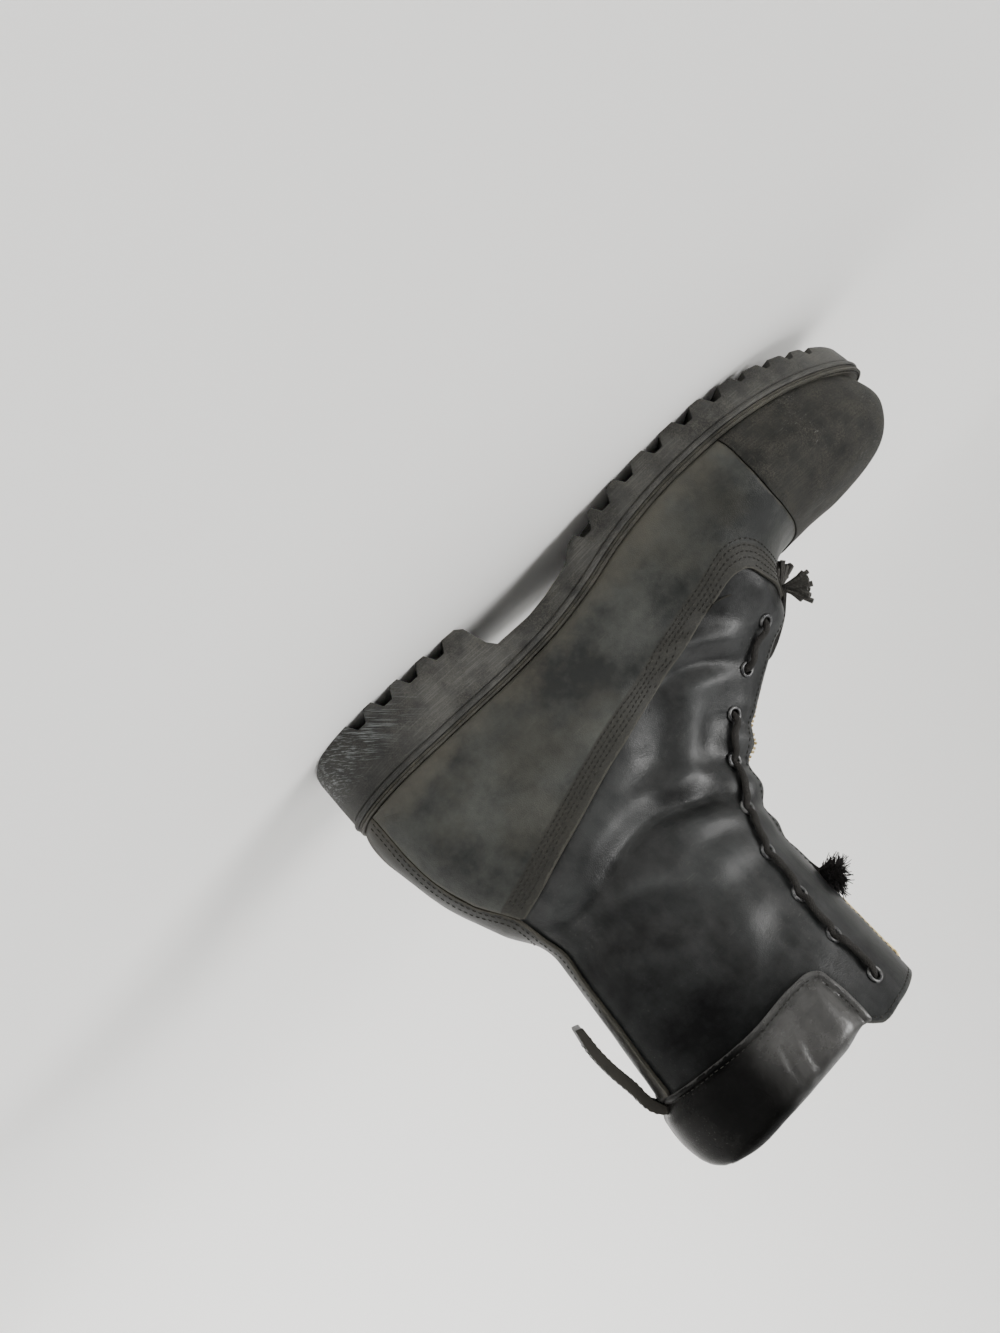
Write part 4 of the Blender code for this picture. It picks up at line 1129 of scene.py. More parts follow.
@shared("leather grain", Place=None, Pebbles=1.1)
def grain(board: Board, given: dict) -> Wire:
    """Fine pebbles of leather with softer creases between them."""
    sway = board.out("TexNoise", {"Vector": given["Place"], "Scale": 0.35}, output=1)
    bent = board.out("VectorMath", {0: given["Place"], 1: sway}, operation="ADD")
    cells = board.out("TexVoronoi", {"Vector": bent, "Scale": given["Pebbles"]}, feature="DISTANCE_TO_EDGE")
    lines = board.noise(board.stretched(bent, (0.5, 0.8, 1.6)), 0.55, 5.0, 0.6)
    return board.soft(cells, 0.0, 0.28) * 0.55 + lines


@shared("mottle", Place=None, Fineness=0.03)
def mottle(board: Board, given: dict) -> Wire:
    """Cloudy patches."""
    return board.soft(board.noise(given["Place"], given["Fineness"], 6.0, 0.62), 0.34, 0.66)


@shared("scratches", Place=None, Fineness=1.2, Amount=1.0)
def scratches(board: Board, given: dict) -> Wire:
    """Thin rubbed lines in three directions, in patches."""
    total = None
    for turn, stretch in (((0.3, 0.5, 0.2), (0.05, 1.0, 1.3)), ((0.2, -0.7, 0.9), (0.06, 1.1, 0.9)),
                          ((1.1, 0.2, -0.4), (1.2, 0.05, 0.8))):
        place = board.stretched(given["Place"], stretch, turn)
        line = board.soft(board.noise(place, given["Fineness"], 2.0), 0.66, 0.74)
        total = line if total is None else board.number("MAXIMUM", total, line)
    patch = board.soft(board.noise(given["Place"], 0.035, 3.0), 0.46, 0.62)
    return total * patch * given["Amount"]


@shared("settled dust", Place=None, Height=0.0, Reach=20.0)
def dust(board: Board, given: dict) -> Wire:
    """Dust that has settled low down, in ragged patches."""
    ragged = (board.noise(given["Place"], 0.06, 7.0, 0.65) - 0.5) * 34.0
    share = (given["Height"] + ragged) / given["Reach"]
    fine = board.soft(board.noise(given["Place"], 0.45, 4.0, 0.7), 0.3, 0.7, 0.75, 1.0)
    return board.soft(share, 0.0, 1.0, 1.0, 0.0) * fine


@shared("rubbed edge", Place=None, Edge=5.0, Width=1.2)
def rubbed_edge(board: Board, given: dict) -> Wire:
    """Wear along a cut edge."""
    ragged = board.soft(board.noise(given["Place"], 0.28, 4.0, 0.6), 0.3, 0.7, 0.35, 1.4)
    return board.soft(given["Edge"] / (given["Width"] * ragged), 0.3, 1.0, 1.0, 0.0)


@shared("weave", Place=None, Threads=0.3)
def weave(board: Board, given: dict) -> Wire:
    """A plain weave or braid over a flat place, one thread to a unit."""
    waves = []
    for turn in (0.785, -0.785):
        place = board.stretched(given["Place"], (1, 1, 1), (0, 0, turn))
        sockets = {"Vector": place, "Scale": given["Threads"], "Distortion": 0.6, "Detail": 1.0}
        waves.append(board.out("TexWave", sockets, output=1))
    return board.number("MAXIMUM", *waves)


def painted(name: str) -> tuple[bpy.types.Material, Board, bpy.types.Node]:
    """A new material with its board and its shader."""
    made = bpy.data.materials.new(name)
    made.use_nodes = True
    return made, Board(made.node_tree), made.node_tree.nodes["Principled BSDF"]


def rgb(red: float, green: float, blue: float) -> tuple:
    """A colour with full alpha."""
    return (red, green, blue, 1.0)


@dataclass(frozen=True)
class LeatherFinish:
    """Worn smooth leather: patches, folds, scratches, dust over the welt and pale cut edges. Raised folds are
    painted paler: a painted sheen on their ridges.

    The polish and its painted sheen are given as where they start and end along the boot, their gloss, the
    share of the paler wear colour that is painted over as a sheen, and how far they lean back with height.
    """

    name: str
    deep: tuple = rgb(0.010, 0.0105, 0.011)
    pale: tuple = rgb(0.032, 0.034, 0.035)
    worn: tuple = rgb(0.10, 0.088, 0.068)
    dirt: tuple = rgb(0.20, 0.155, 0.095)
    rough: tuple[float, float] = (0.30, 0.46)
    pebbles: float = 1.15
    relief: float = 0.05
    scratch: float = 0.5
    dust_reach: float = 0.0
    dust_share: float = 0.6
    edge_width: float = 1.1
    edge_share: float = 0.7
    band: float = 0.0
    gloss: float = 0.2
    tint: Optional[tuple] = None
    polish: Optional[tuple[float, float, float, float, float]] = None

    def make(self) -> bpy.types.Material:
        """Builds the material."""
        made, board, shader = painted(self.name)
        place = board.places()
        patches = board.effect(mottle(), {"Place": place, "Fineness": 0.035})
        fine = board.effect(mottle(), {"Place": place, "Fineness": 0.3})
        # Raised folds are painted paler in colour: a painted sheen on their ridges.
        raised = board.soft(board.value("fold"), 0.2, 2.2)
        low = board.stretched(place, (1.0, 1.0, 1.6))
        broad = board.effect(mottle(), {"Place": low, "Fineness": 0.014})
        tone = patches * 0.52 + fine * 0.1 + broad * 0.62 - 0.18 + raised * 0.45
        colour = board.blend(tone, self.deep, self.pale)
        if self.tint:
            oily = board.soft(board.noise(place, 0.022, 5.0, 0.6), 0.46, 0.62)
            colour = board.blend(oily * 0.4, colour, self.tint)
        # Towards the front the gloss rises and the colour is mixed with the paler wear colour: a painted
        # sheen.
        if self.polish:
            start, end, level, sheen_share, slant = self.polish
            x, _, z = board.axes(place)
            clouds = board.noise(board.stretched(place, (0.5, 1.0, 0.25)), 0.16, 4.0, 0.6)
            gloss_and_painted_sheen = board.soft(x - z * slant, start, end) * board.soft(clouds, 0.3, 0.7, 0.55, 1.0)
            colour = board.blend(gloss_and_painted_sheen * sheen_share, colour, self.worn)
        marks = board.effect(scratches(), {"Place": place, "Fineness": 1.1, "Amount": self.scratch})
        colour = board.blend(marks, colour, self.worn)
        rough = board.soft(tone, 0.0, 1.0, self.rough[0], self.rough[1])
        rough = rough + marks * 0.25
        if self.band:
            inside = board.soft(board.value("seam"), self.band, self.band + 1.2, 1.0, 0.0)
            ribs = board.noise(board.stretched(place, (0.6, 0.6, 1.0)), 1.2, 3.0, 0.7)
            band_colour = board.blend(ribs, rgb(0.0045, 0.0045, 0.0042), rgb(0.036, 0.034, 0.028))
            colour = board.blend(inside * 0.8, colour, band_colour)
            rough = rough + inside * 0.15
        if self.dust_reach:
            sockets = {"Place": place, "Height": board.value("welt"), "Reach": self.dust_reach}
            share = board.effect(dust(), sockets) * self.dust_share
            colour = board.blend(share, colour, self.dirt)
            rough = rough + share * 0.4
        sockets = {"Place": place, "Edge": board.value("edge"), "Width": self.edge_width}
        edge = board.effect(rubbed_edge(), sockets)
        colour = board.blend(edge * self.edge_share, colour, self.worn)
        rough = rough + edge * 0.2
        pebbled = board.effect(grain(), {"Place": place, "Pebbles": self.pebbles})
        height = pebbled + board.noise(place, 0.16, 4.0, 0.6) * 2.6
        gloss = board.soft(gloss_and_painted_sheen, 0.0, 1.0, self.gloss, level) if self.polish else self.gloss
        normal = board.bump(height, self.relief)
        board.fill(shader, {"Base Color": colour, "Roughness": rough, "Normal": normal,
                            "Specular IOR Level": gloss})
        return made


@dataclass(frozen=True)
class RubberFinish:
    """Rough moulded rubber with scuffs drawn out along the boot and dirt in its hollows."""

    name: str
    deep: tuple = rgb(0.022, 0.021, 0.019)
    pale: tuple = rgb(0.075, 0.070, 0.062)
    dirt: tuple = rgb(0.21, 0.165, 0.11)
    rough: float = 0.62
    coarse: float = 1.6
    relief: float = 0.12
    scuffs: float = 0.7
    dirt_share: float = 0.35
    gloss: float = 0.15
    marks: float = 0.6
    brushed: bool = False

    def make(self) -> bpy.types.Material:
        """Builds the material."""
        made, board, shader = painted(self.name)
        place = board.places()
        patches = board.effect(mottle(), {"Place": place, "Fineness": 0.045})
        grit = board.noise(place, self.coarse, 6.0, 0.7)
        streaks = board.noise(board.stretched(place, (0.07, 0.07, 1.9)), 0.8, 5.0, 0.7)
        drawn = board.soft(streaks, 0.48, 0.68) * patches
        tone = patches * 0.45 + grit * 0.35 + drawn * self.scuffs
        colour = board.blend(tone, self.deep, self.pale)
        settled = board.effect(mottle(), {"Place": place, "Fineness": 0.11}) * board.soft(grit, 0.42, 0.6)
        colour = board.blend(settled * self.dirt_share, colour, self.dirt)
        marks = board.effect(scratches(), {"Place": place, "Fineness": 1.6, "Amount": self.marks})
        colour = board.blend(marks, colour, rgb(0.085, 0.082, 0.075))
        rough = board.soft(tone, 0.0, 1.3, self.rough - 0.12, self.rough + 0.2)
        if self.brushed:
            sockets = {"Vector": place, "Rotation": (0.0, -0.76, 0.0), "Scale": (16.0, 3.0, 0.55)}
            slant = board.out("Mapping", sockets, vector_type="TEXTURE")
            lines = board.soft(board.noise(slant, 1.0, 4.0, 0.7), 0.50, 0.64)
            x, _, z = board.axes(place)
            heel = board.soft(x, -136.0, -92.0, 1.0, 0.0)
            low = board.soft(z, 8.0, 25.0, 1.0, 0.0)
            # The colour is darker towards the heel. Low on the heel the brushed scuff streaks are painted
            # pale and bluish: a painted highlight over real scuffs, where the rubber is also less rough.
            colour = board.blend(heel * 0.5, colour, self.deep)
            gloss_and_painted_sheen = heel * low * lines
            colour = board.blend(gloss_and_painted_sheen * 0.7, colour, rgb(0.17, 0.18, 0.18))
            rough = rough - gloss_and_painted_sheen * 0.2
        normal = board.bump(grit + streaks * 0.8, self.relief)
        board.fill(shader, {"Base Color": colour, "Roughness": rough, "Normal": normal,
                            "Specular IOR Level": self.gloss})
        return made


@dataclass(frozen=True)
class ClothFinish:
    """Laces, lining, zip tape and thread."""

    name: str
    deep: tuple
    pale: tuple
    threads: float = 0.3
    relief: float = 0.15
    on_run: bool = False
    rough: float = 0.8

    def make(self) -> bpy.types.Material:
        """Builds the material."""
        made, board, shader = painted(self.name)
        place = board.places()
        flat = board.stretched(board.out("UVMap", uv_map="run"), (11.0, 1.0, 1.0)) if self.on_run else place
        threads = board.effect(weave(), {"Place": flat, "Threads": self.threads})
        fuzz = board.noise(place, 1.4, 5.0, 0.7)
        tone = threads * board.soft(fuzz, 0.25, 0.75, 0.35, 1.0)
        colour = board.blend(tone, self.deep, self.pale)
        normal = board.bump(threads + fuzz, self.relief)
        board.fill(shader, {"Base Color": colour, "Roughness": self.rough, "Normal": normal,
                            "Specular IOR Level": 0.2})
        return made


@dataclass(frozen=True)
class MetalFinish:
    """Painted or bare metal, rubbed bright where it is touched."""

    name: str
    coat: tuple
    bare: tuple
    bright: float = 0.4
    rough: float = 0.32

    def make(self) -> bpy.types.Material:
        """Builds the material."""
        made, board, shader = painted(self.name)
        place = board.places()
        patches = board.effect(mottle(), {"Place": place, "Fineness": 0.5})
        marks = board.effect(scratches(), {"Place": place, "Fineness": 2.6, "Amount": 0.8})
        share = board.number("MAXIMUM", patches * self.bright, marks)
        colour = board.blend(share, self.coat, self.bare)
        rough = board.soft(patches, 0.0, 1.0, self.rough, self.rough + 0.2)
        normal = board.bump(board.noise(place, 2.0, 4.0), 0.04, 0.6)
        board.fill(shader, {"Base Color": colour, "Roughness": rough, "Normal": normal, "Metallic": 1.0})
        return made


class Finishes:
    """Every finish of the boot, made once."""

    def __init__(self) -> None:
        """Makes the materials."""
        # The shaft's gloss rises towards the lower front, with a faint painted sheen mixed into its colour.
        self.shaft = LeatherFinish(
            "black shaft leather", deep=rgb(0.0016, 0.0018, 0.0020), pale=rgb(0.0185, 0.0198, 0.0200),
            worn=rgb(0.050, 0.050, 0.046), rough=(0.37, 0.48), scratch=0.35, gloss=0.06,
            polish=(-262.0, -196.0, 0.36, 0.05, 0.8)).make()
        self.vamp = LeatherFinish(
            "oiled vamp leather", deep=rgb(0.0095, 0.0105, 0.0100), pale=rgb(0.056, 0.0580, 0.0520),
            worn=rgb(0.060, 0.057, 0.048), dirt=rgb(0.085, 0.077, 0.060), rough=(0.42, 0.56),
            dust_reach=13.0, dust_share=0.45, band=9.6, scratch=0.35, relief=0.06, gloss=0.24,
            tint=rgb(0.034, 0.032, 0.024)).make()
        self.stay = LeatherFinish(
            "back stay leather", deep=rgb(0.0075, 0.0075, 0.0070), pale=rgb(0.026, 0.0255, 0.0225),
            worn=rgb(0.05, 0.047, 0.038), dirt=rgb(0.07, 0.062, 0.047), rough=(0.42, 0.58),
            dust_reach=30.0, dust_share=0.3, scratch=0.5, gloss=0.18).make()
        # The collar's front is painted paler through its polish and sheen share: a painted reflection on the
        # glossy panel.
        self.collar = LeatherFinish(
            "glossy collar leather", deep=rgb(0.0022, 0.0022, 0.0022), pale=rgb(0.010, 0.0094, 0.0088),
            worn=rgb(0.056, 0.055, 0.053), rough=(0.26, 0.36), scratch=0.5, relief=0.04, gloss=0.05,
            polish=(-114.0, -88.0, 0.50, 0.8, 0.0)).make()
        self.strap = LeatherFinish(
            "pull strap leather", deep=rgb(0.0030, 0.0030, 0.0028), pale=rgb(0.017, 0.016, 0.014),
            worn=rgb(0.034, 0.031, 0.026), rough=(0.42, 0.56), gloss=0.22).make()
        self.raw = LeatherFinish(
            "cut leather edge", deep=rgb(0.012, 0.0115, 0.010), pale=rgb(0.038, 0.035, 0.028),
            worn=rgb(0.05, 0.045, 0.035), rough=(0.6, 0.8), pebbles=2.4, relief=0.08, edge_share=0.0).make()
        self.lining = LeatherFinish(
            "shaft lining", deep=rgb(0.030, 0.027, 0.022), pale=rgb(0.080, 0.072, 0.060),
            worn=rgb(0.13, 0.11, 0.085), rough=(0.6, 0.8), edge_share=0.2).make()
        self.cap = RubberFinish(
            "rough toe cap", deep=rgb(0.0035, 0.0035, 0.0033), pale=rgb(0.034, 0.0335, 0.0300),
            dirt=rgb(0.070, 0.064, 0.050), rough=0.72, coarse=1.5, relief=0.24, scuffs=0.7, dirt_share=0.40,
            marks=1.0).make()
        self.sole = RubberFinish(
            "sole rubber", deep=rgb(0.012, 0.0123, 0.012), pale=rgb(0.084, 0.0825, 0.077),
            dirt=rgb(0.115, 0.107, 0.088), rough=0.6, dirt_share=0.3, brushed=True).make()
        self.welt = RubberFinish(
            "welt", deep=rgb(0.014, 0.0137, 0.0125), pale=rgb(0.074, 0.071, 0.061),
            dirt=rgb(0.10, 0.09, 0.068), dirt_share=0.4, scuffs=0.4, relief=0.08).make()
        self.lace = ClothFinish(
            "waxed lace", rgb(0.006, 0.0055, 0.005), rgb(0.030, 0.028, 0.026), 0.35, 0.16, on_run=True).make()
        self.fray = ClothFinish(
            "frayed lace", rgb(0.005, 0.0045, 0.0045), rgb(0.020, 0.018, 0.018), 0.8, 0.1).make()
        self.stub = ClothFinish(
            "dusty lace end", rgb(0.020, 0.019, 0.017), rgb(0.085, 0.082, 0.075), 0.8, 0.1).make()
        self.thread = ClothFinish(
            "black thread", rgb(0.008, 0.008, 0.007), rgb(0.034, 0.032, 0.028), 1.6, 0.05).make()
        self.tape = ClothFinish(
            "zip tape", rgb(0.006, 0.006, 0.006), rgb(0.020, 0.020, 0.020), 0.6, 0.1).make()
        self.footbed = ClothFinish(
            "footbed cloth", rgb(0.035, 0.030, 0.024), rgb(0.11, 0.10, 0.08), 0.5, 0.15).make()
        self.eyelet = MetalFinish(
            "black eyelet metal", rgb(0.045, 0.045, 0.048), rgb(0.34, 0.34, 0.33), 0.4, 0.36).make()
        self.brass = MetalFinish(
            "brass", rgb(0.50, 0.38, 0.17), rgb(0.86, 0.72, 0.42), 0.7, 0.26).make()


# ---------------------------------------------------------------- leather


def flat_of(points: np.ndarray) -> np.ndarray:
    """The side view of points, as (x, z)."""
    return points[..., [0, 2]]


def node_middle(last: Last, name: str) -> np.ndarray:
    """The middle of a solid, in millimetres on the last."""
    low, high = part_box(name)
    return (np.array(low) + np.array(high)) / 2 / MM - [last.shift[0], last.shift[1], 0]


def below_rim() -> np.ndarray:
    """The side view under the boot's rim as a closed outline."""
    rim = curve_through(RIM, 2.0)
    return np.vstack([rim, [(400, 230), (400, -60), (-10, -60)]])


@dataclass
class Bed:
    """What every leather piece is made on: the last, its creases and the finishes."""

    last: Last
    creases: Creases
    finishes: Finishes

    def piece(self, name: str, points: np.ndarray, faces: Sequence[Sequence[int]]) -> bpy.types.Object:
        """A new piece from points in millimetres on the last."""
        return Bench.piece(name, self.last.place(points), faces)

    def layer(self, name: str, pattern: Pattern, lift: np.ndarray, thick: float, shades: str, slot: str,
              node: str, edge: float = 0.35) -> tuple[bpy.types.Object, BVHTree]:
        """A layer of leather with a wall and softened edges.

        Args:
            name: the piece's name.
            pattern: its cut shape.
            lift: height of its outside over the last.
            thick: its thickness, which goes inwards.
            shades: its finishes outside, inside and on the cut edge, by their names in Finishes.
            slot: not used.
            node: the solid that it stands for.
            edge: how much its cut edges are rounded.

        Returns:
            The piece, and its outside for eyelets and seams.
        """
        outside = pattern.surface(lift, self.creases)
        obj = self.piece(name, outside, pattern.faces)
        self.measure(obj, pattern)
        Bench.apply(obj, "SOLIDIFY", thickness=thick * MM, offset=-1.0, use_quality_normals=True,
                    material_offset=1, material_offset_rim=2)
        if edge:
            Bench.soften(obj, edge, 2, 50)
        Bench.finish(obj, 50, [getattr(self.finishes, shade) for shade in shades.split()], slot, [node])
        return obj, BVHTree.FromPolygons([Vector(p) for p in outside], pattern.faces)

    def net(self, low: float, high: float, spacing: float, around: Optional[float] = None, back: bool = True,
            reach: float = 1.0, girth: float = 112.0) -> Net:
        """A net over the last.

        Args:
            low: its first section.
            high: its last section.
            spacing: how far its places lie apart along the last.
            around: the same around the last, if it is another distance.
            back: whether it closes behind the heel.
            reach: how far down each side it comes, as a share.
            girth: the way from the ridge to the bottom edge.

        Returns:
            The net.
        """
        rounds = self.last.rounds(around or spacing, girth, back, reach)
        return Net(self.last, self.last.steps(low, high, spacing), rounds)

    def measure(self, obj: bpy.types.Object, pattern: Pattern) -> None:
        """Stores on the mesh what its finish reads: edge, fold, height over the welt and the quarter seam."""
        seam, _ = to_line(curve_through(QUARTER_SEAM, 3.0), flat_of(pattern.base))
        Bench.mark(obj, "edge", pattern.edge)
        Bench.mark(obj, "fold", self.creases.height(pattern.base))
        Bench.mark(obj, "welt", pattern.base[:, 2] - feather(pattern.base[:, 0]))
        Bench.mark(obj, "seam", seam)

    def sewn(self, name: str, lines: Sequence[np.ndarray], cloth: BVHTree, needle: Needle,
             slot: str) -> bpy.types.Object:
        """Stitches along lines of points near a layer, as one piece."""
        obj = self.piece(name, *needle.sew(lines, cloth))
        Bench.finish(obj, 60, [self.finishes.thread], slot)
        return obj


@dataclass
class Shaft:
    """The quarters and the shaft in one hollow shell, with its eyelet holes and the seams of its edges."""

    bed: Bed
    wall: float = 2.4
    throat_half: float = 8.5
    throat_round: float = 4.0
    hole: float = 2.5
    throat_row: float = 1.9
    rim_row: float = 2.0
    binding: float = 0.45
    spacing: float = 2.2

    def __post_init__(self) -> None:
        """Finds where the eyelets sit."""
        names = [f"eyelet_{side.label}_{k}" for side in Side for k in range(1, len(EYELETS) + 1)]
        self.holes = {name: node_middle(self.bed.last, name) for name in names}

    def throat(self, points: np.ndarray) -> np.ndarray:
        """Signed distance from the throat's edge, positive on the leather."""
        r = self.throat_round
        across = np.abs(points[..., 1]) - self.throat_half
        behind = -within(np.array(THROAT, float), flat_of(points))
        corner = np.hypot(np.maximum(across + r, 0), np.maximum(behind + r, 0))
        return corner + np.minimum(np.maximum(across, behind) + r, 0) - r

    def inside(self, points: np.ndarray) -> np.ndarray:
        """Signed distance from every cut edge of the shell."""
        value = np.minimum(within(below_rim(), flat_of(points)), self.throat(points))
        for middle in self.holes.values():
            value = np.minimum(value, np.linalg.norm(points - middle, axis=-1) - self.hole)
        return value

    def build(self) -> None:
        """Makes the shell, its seams and the binding of the rim."""
        net = self.bed.net(TOE_MIDDLE, COLLAR_TOP, self.spacing)
        pattern = net.cut(self.inside)
        _, self.cloth = self.bed.layer("boot_upper", pattern, 0.0, self.wall, "shaft lining raw",
                                       "shaft_leather", "upper")
        self.sew_edges(net)
        self.bind_rim()

    def sew_edges(self, net: Net) -> None:
        """A row of stitches beside the throat's edge and one along the front rim."""
        throat = self.throat(net.points)
        rim = within(below_rim(), flat_of(net.points))
        clear = (net.s > 7.2) & (net.points[..., 0] > 98)
        lines = net.seam(throat - self.throat_row, clear & (rim > 2.5) & (net.points[..., 2] > 66))
        lines += net.seam(rim - self.rim_row, clear & (throat > 2.5))
        self.bed.sewn("shaft_edge_stitches", lines, self.cloth, Needle(2.6, 1.8, 0.26), "shaft_leather")

    def bind_rim(self) -> None:
        """A narrow leather binding over the rim, from one throat edge round the back to the other."""
        net = self.bed.net(20.4, COLLAR_TOP, 1.0, 2.0)
        rim = within(below_rim(), flat_of(net.points))
        throat = self.throat(net.points)
        line = max(net.seam(rim - 0.4, throat > 0.6), key=len)
        found = [self.cloth.find_nearest(Vector(p)) for p in line]
        route = np.array([hit[0] for hit in found])
        normals = np.array([hit[1] for hit in found])
        lengths = run_of(route)
        places = np.arange(0, lengths[-1], 2.0)
        normals = spread(normals, lengths, places)
        route = evened(spread(route, lengths, places), 4) - normals * self.wall / 2
        radii = np.full(len(route), self.wall / 2 + self.binding)
        radii[:2] = radii[-2:] = self.wall / 2
        points, faces, _ = sweep(route, radii, normals, 12, 1.0)
        obj = self.bed.piece("rim_binding", points, faces)
        Bench.finish(obj, 60, [self.bed.finishes.collar], "shaft_leather")


@dataclass
class Vamp:
    """Vamp and counter in one overlay, with its band of stitches and the quarter's edge at the throat."""

    bed: Bed
    thick: float = 1.4
    spacing: float = 1.9
    rows: tuple = (1.3, 3.2, 5.1, 7.0, 8.9)

    def outline(self) -> np.ndarray:
        """The vamp's side view as a closed outline."""
        stay = curve_through(STAY_SEAM[:5], 3.0) + [0.35, 0]
        cap = curve_through(CAP_SEAM, 2.0) + [-0.35, 0]
        quarter = curve_through(QUARTER_SEAM, 2.0)
        return np.vstack([[(218.6, 0), (9.4, 0)], stay, quarter, [(242, 96)], cap[::-1]])

    def build(self) -> None:
        """Makes the overlay and sews it."""
        net = self.bed.net(4, 18, self.spacing, back=False)
        outline = self.outline()
        field_ = within(outline, flat_of(net.points))
        pattern = net.cut(lambda points: within(outline, flat_of(points)))
        _, cloth = self.bed.layer("boot_vamp", pattern, CLEAR + self.thick, self.thick, "vamp raw raw",
                                  "vamp_leather", "vamp")
        seam = curve_through(QUARTER_SEAM[:-1], 2.0)
        gap, where = to_line(seam, flat_of(net.points))
        fan = 1 + 0.32 * ease(net.points[..., 0], 176, 198)
        lines = []
        for row in self.rows:
            lines += net.seam(gap / fan - row, (field_ > 0.9) & (where < 0.995) & (where > 0.002))
        self.bed.sewn("vamp_band_stitches", lines, cloth, Needle(2.5, 1.9, 0.30), "vamp_leather")
        self.edge_bead(cloth)

    def edge_bead(self, cloth: BVHTree) -> None:
        """The turned edge of the quarter that lies over the vamp below the throat."""
        for side in Side:
            line = curve_through(QUARTER_SEAM[7:], 1.0)
            route, ups = [], []
            for x, z in line:
                start, inward = Vector((x - 0.4, side.value * 90, z + 0.9)), Vector((0, -side.value, 0))
                place, normal, _, _ = cloth.ray_cast(start, inward)
                if place is None:
                    place, normal, _, _ = cloth.find_nearest(Vector((x, side.value * 10, z)))
                route.append(np.array(place) + np.array(normal) * 0.25)
                ups.append(np.array(normal))
            route, ups = evened(np.array(route), 6), np.array(ups)
            reach = np.linspace(0, 1, len(route))
            radii = 0.95 * np.clip(np.minimum(reach / 0.35, 1.0), 0.15, 1)
            points, faces, _ = sweep(route, radii, ups, 10, 0.85)
            obj = self.bed.piece(f"quarter_edge_{side.label}", points, faces)
            Bench.finish(obj, 60, [self.bed.finishes.raw], "shaft_leather")


@dataclass
class ToeCap:
    """The rough rubber cap over the toe."""

    bed: Bed
    thick: float = 2.1
    spacing: float = 1.7

    def build(self) -> None:
        """Makes the cap."""
        seam = curve_through(CAP_SEAM, 2.0)
        outline = np.vstack([seam, [(243, 120), (340, 120), (340, 0), (219, 0)]])
        net = self.bed.net(TOE_MIDDLE, 7, self.spacing, back=False, girth=100)
        pattern = net.cut(lambda points: within(outline, flat_of(points)))
        self.bed.layer("boot_toe_cap", pattern, CLEAR + self.thick, self.thick, "cap cap cap",
                       "cap_rubber", "toe_cap", 0.5)


@dataclass
class BackStay:
    """The strip over the heel counter and up the back, with a double row of stitches."""

    bed: Bed
    thick: float = 1.4
    spacing: float = 1.7
    rows: tuple = (1.3, 2.9)

    def build(self) -> None:
        """Makes the strip and sews it."""
        outline = np.vstack([[(-12, 0), (9, 0)], curve_through(STAY_SEAM, 2.0), [(-12, 197)]])
        net = self.bed.net(12, 21.2, self.spacing, girth=105)
        value = within(outline, flat_of(net.points))
        pattern = net.cut(lambda points: within(outline, flat_of(points)))
        _, cloth = self.bed.layer("boot_back_stay", pattern, CLEAR + self.thick, self.thick, "stay raw raw",
                                  "stay_leather", "back_stay")
        clear = (net.points[..., 2] < 160) & (net.points[..., 2] > 37)
        lines = [line for row in self.rows for line in net.seam(value - row, clear)]
        self.bed.sewn("back_stay_stitches", lines, cloth, Needle(2.7, 1.9, 0.28), "stay_leather")


@dataclass
class Collar:
    """The padded collar: a sewn flange with its bead, a groove and the stuffed panel."""

    bed: Bed
    full: float = 4.6
    flange: float = 1.5
    row: float = 1.35
    spacing: float = 0.9

    def swell(self, seam: np.ndarray, rim: np.ndarray) -> np.ndarray:
        """Height of the collar's outside over the shaft.

        Args:
            seam: distance from the collar's sewn edge.
            rim: distance from the boot's rim.

        Returns:
            Millimetres.
        """
        bead = self.flange + 0.55 * np.sin(np.pi * np.clip(seam / 2.7, 0, 1))
        groove = 0.9 * np.exp(-((seam - 3.3) / 0.75) ** 2)
        pad = (self.full - self.flange) * ease(seam, 3.2, 10.5) + 0.5 * ease(seam, 8, 18)
        roll = np.sqrt(np.clip(1 - (1 - np.clip(rim / 6.5, 0, 1)) ** 2, 0, 1))
        return (bead - groove + pad) * (0.16 + 0.84 * roll)

    def build(self) -> None:
        """Makes the collar and sews its flange."""
        edge = curve_through(COLLAR_EDGE, 1.5)
        outline = np.vstack([edge, [(-12, 240)]])
        rim_outline = below_rim()
        wrinkles = Creases(COLLAR_FOLDS)
        net = self.bed.net(20.5, COLLAR_TOP, self.spacing, 1.0)

        def inside(points: np.ndarray) -> np.ndarray:
            """Signed distance from the collar's edges."""
            flat = flat_of(points)
            return np.minimum(within(outline, flat), within(rim_outline, flat))

        pattern = net.cut(inside)
        flat = flat_of(pattern.base)
        seam, _ = to_line(edge, flat)
        rim = np.maximum(within(rim_outline, flat), 0)
        pad = ease(seam, 3.5, 9) * ease(rim, 0, 5)
        lift = CLEAR + self.swell(seam, rim) + wrinkles.fold_height(pattern.base) * pad
        obj, cloth = self.bed.layer("boot_collar", pattern, lift, 0.9, "collar raw raw",
                                    "collar_leather", "collar", 0.25)
        gap, _ = to_line(edge, flat_of(net.points))
        value = inside(net.points)
        rim_gap = within(rim_outline, flat_of(net.points))
        lines = net.seam(gap - self.row, (value > 0.4) & (rim_gap > 3))
        self.bed.sewn("collar_stitches", lines, cloth, Needle(2.6, 1.8, 0.27), "collar_leather")


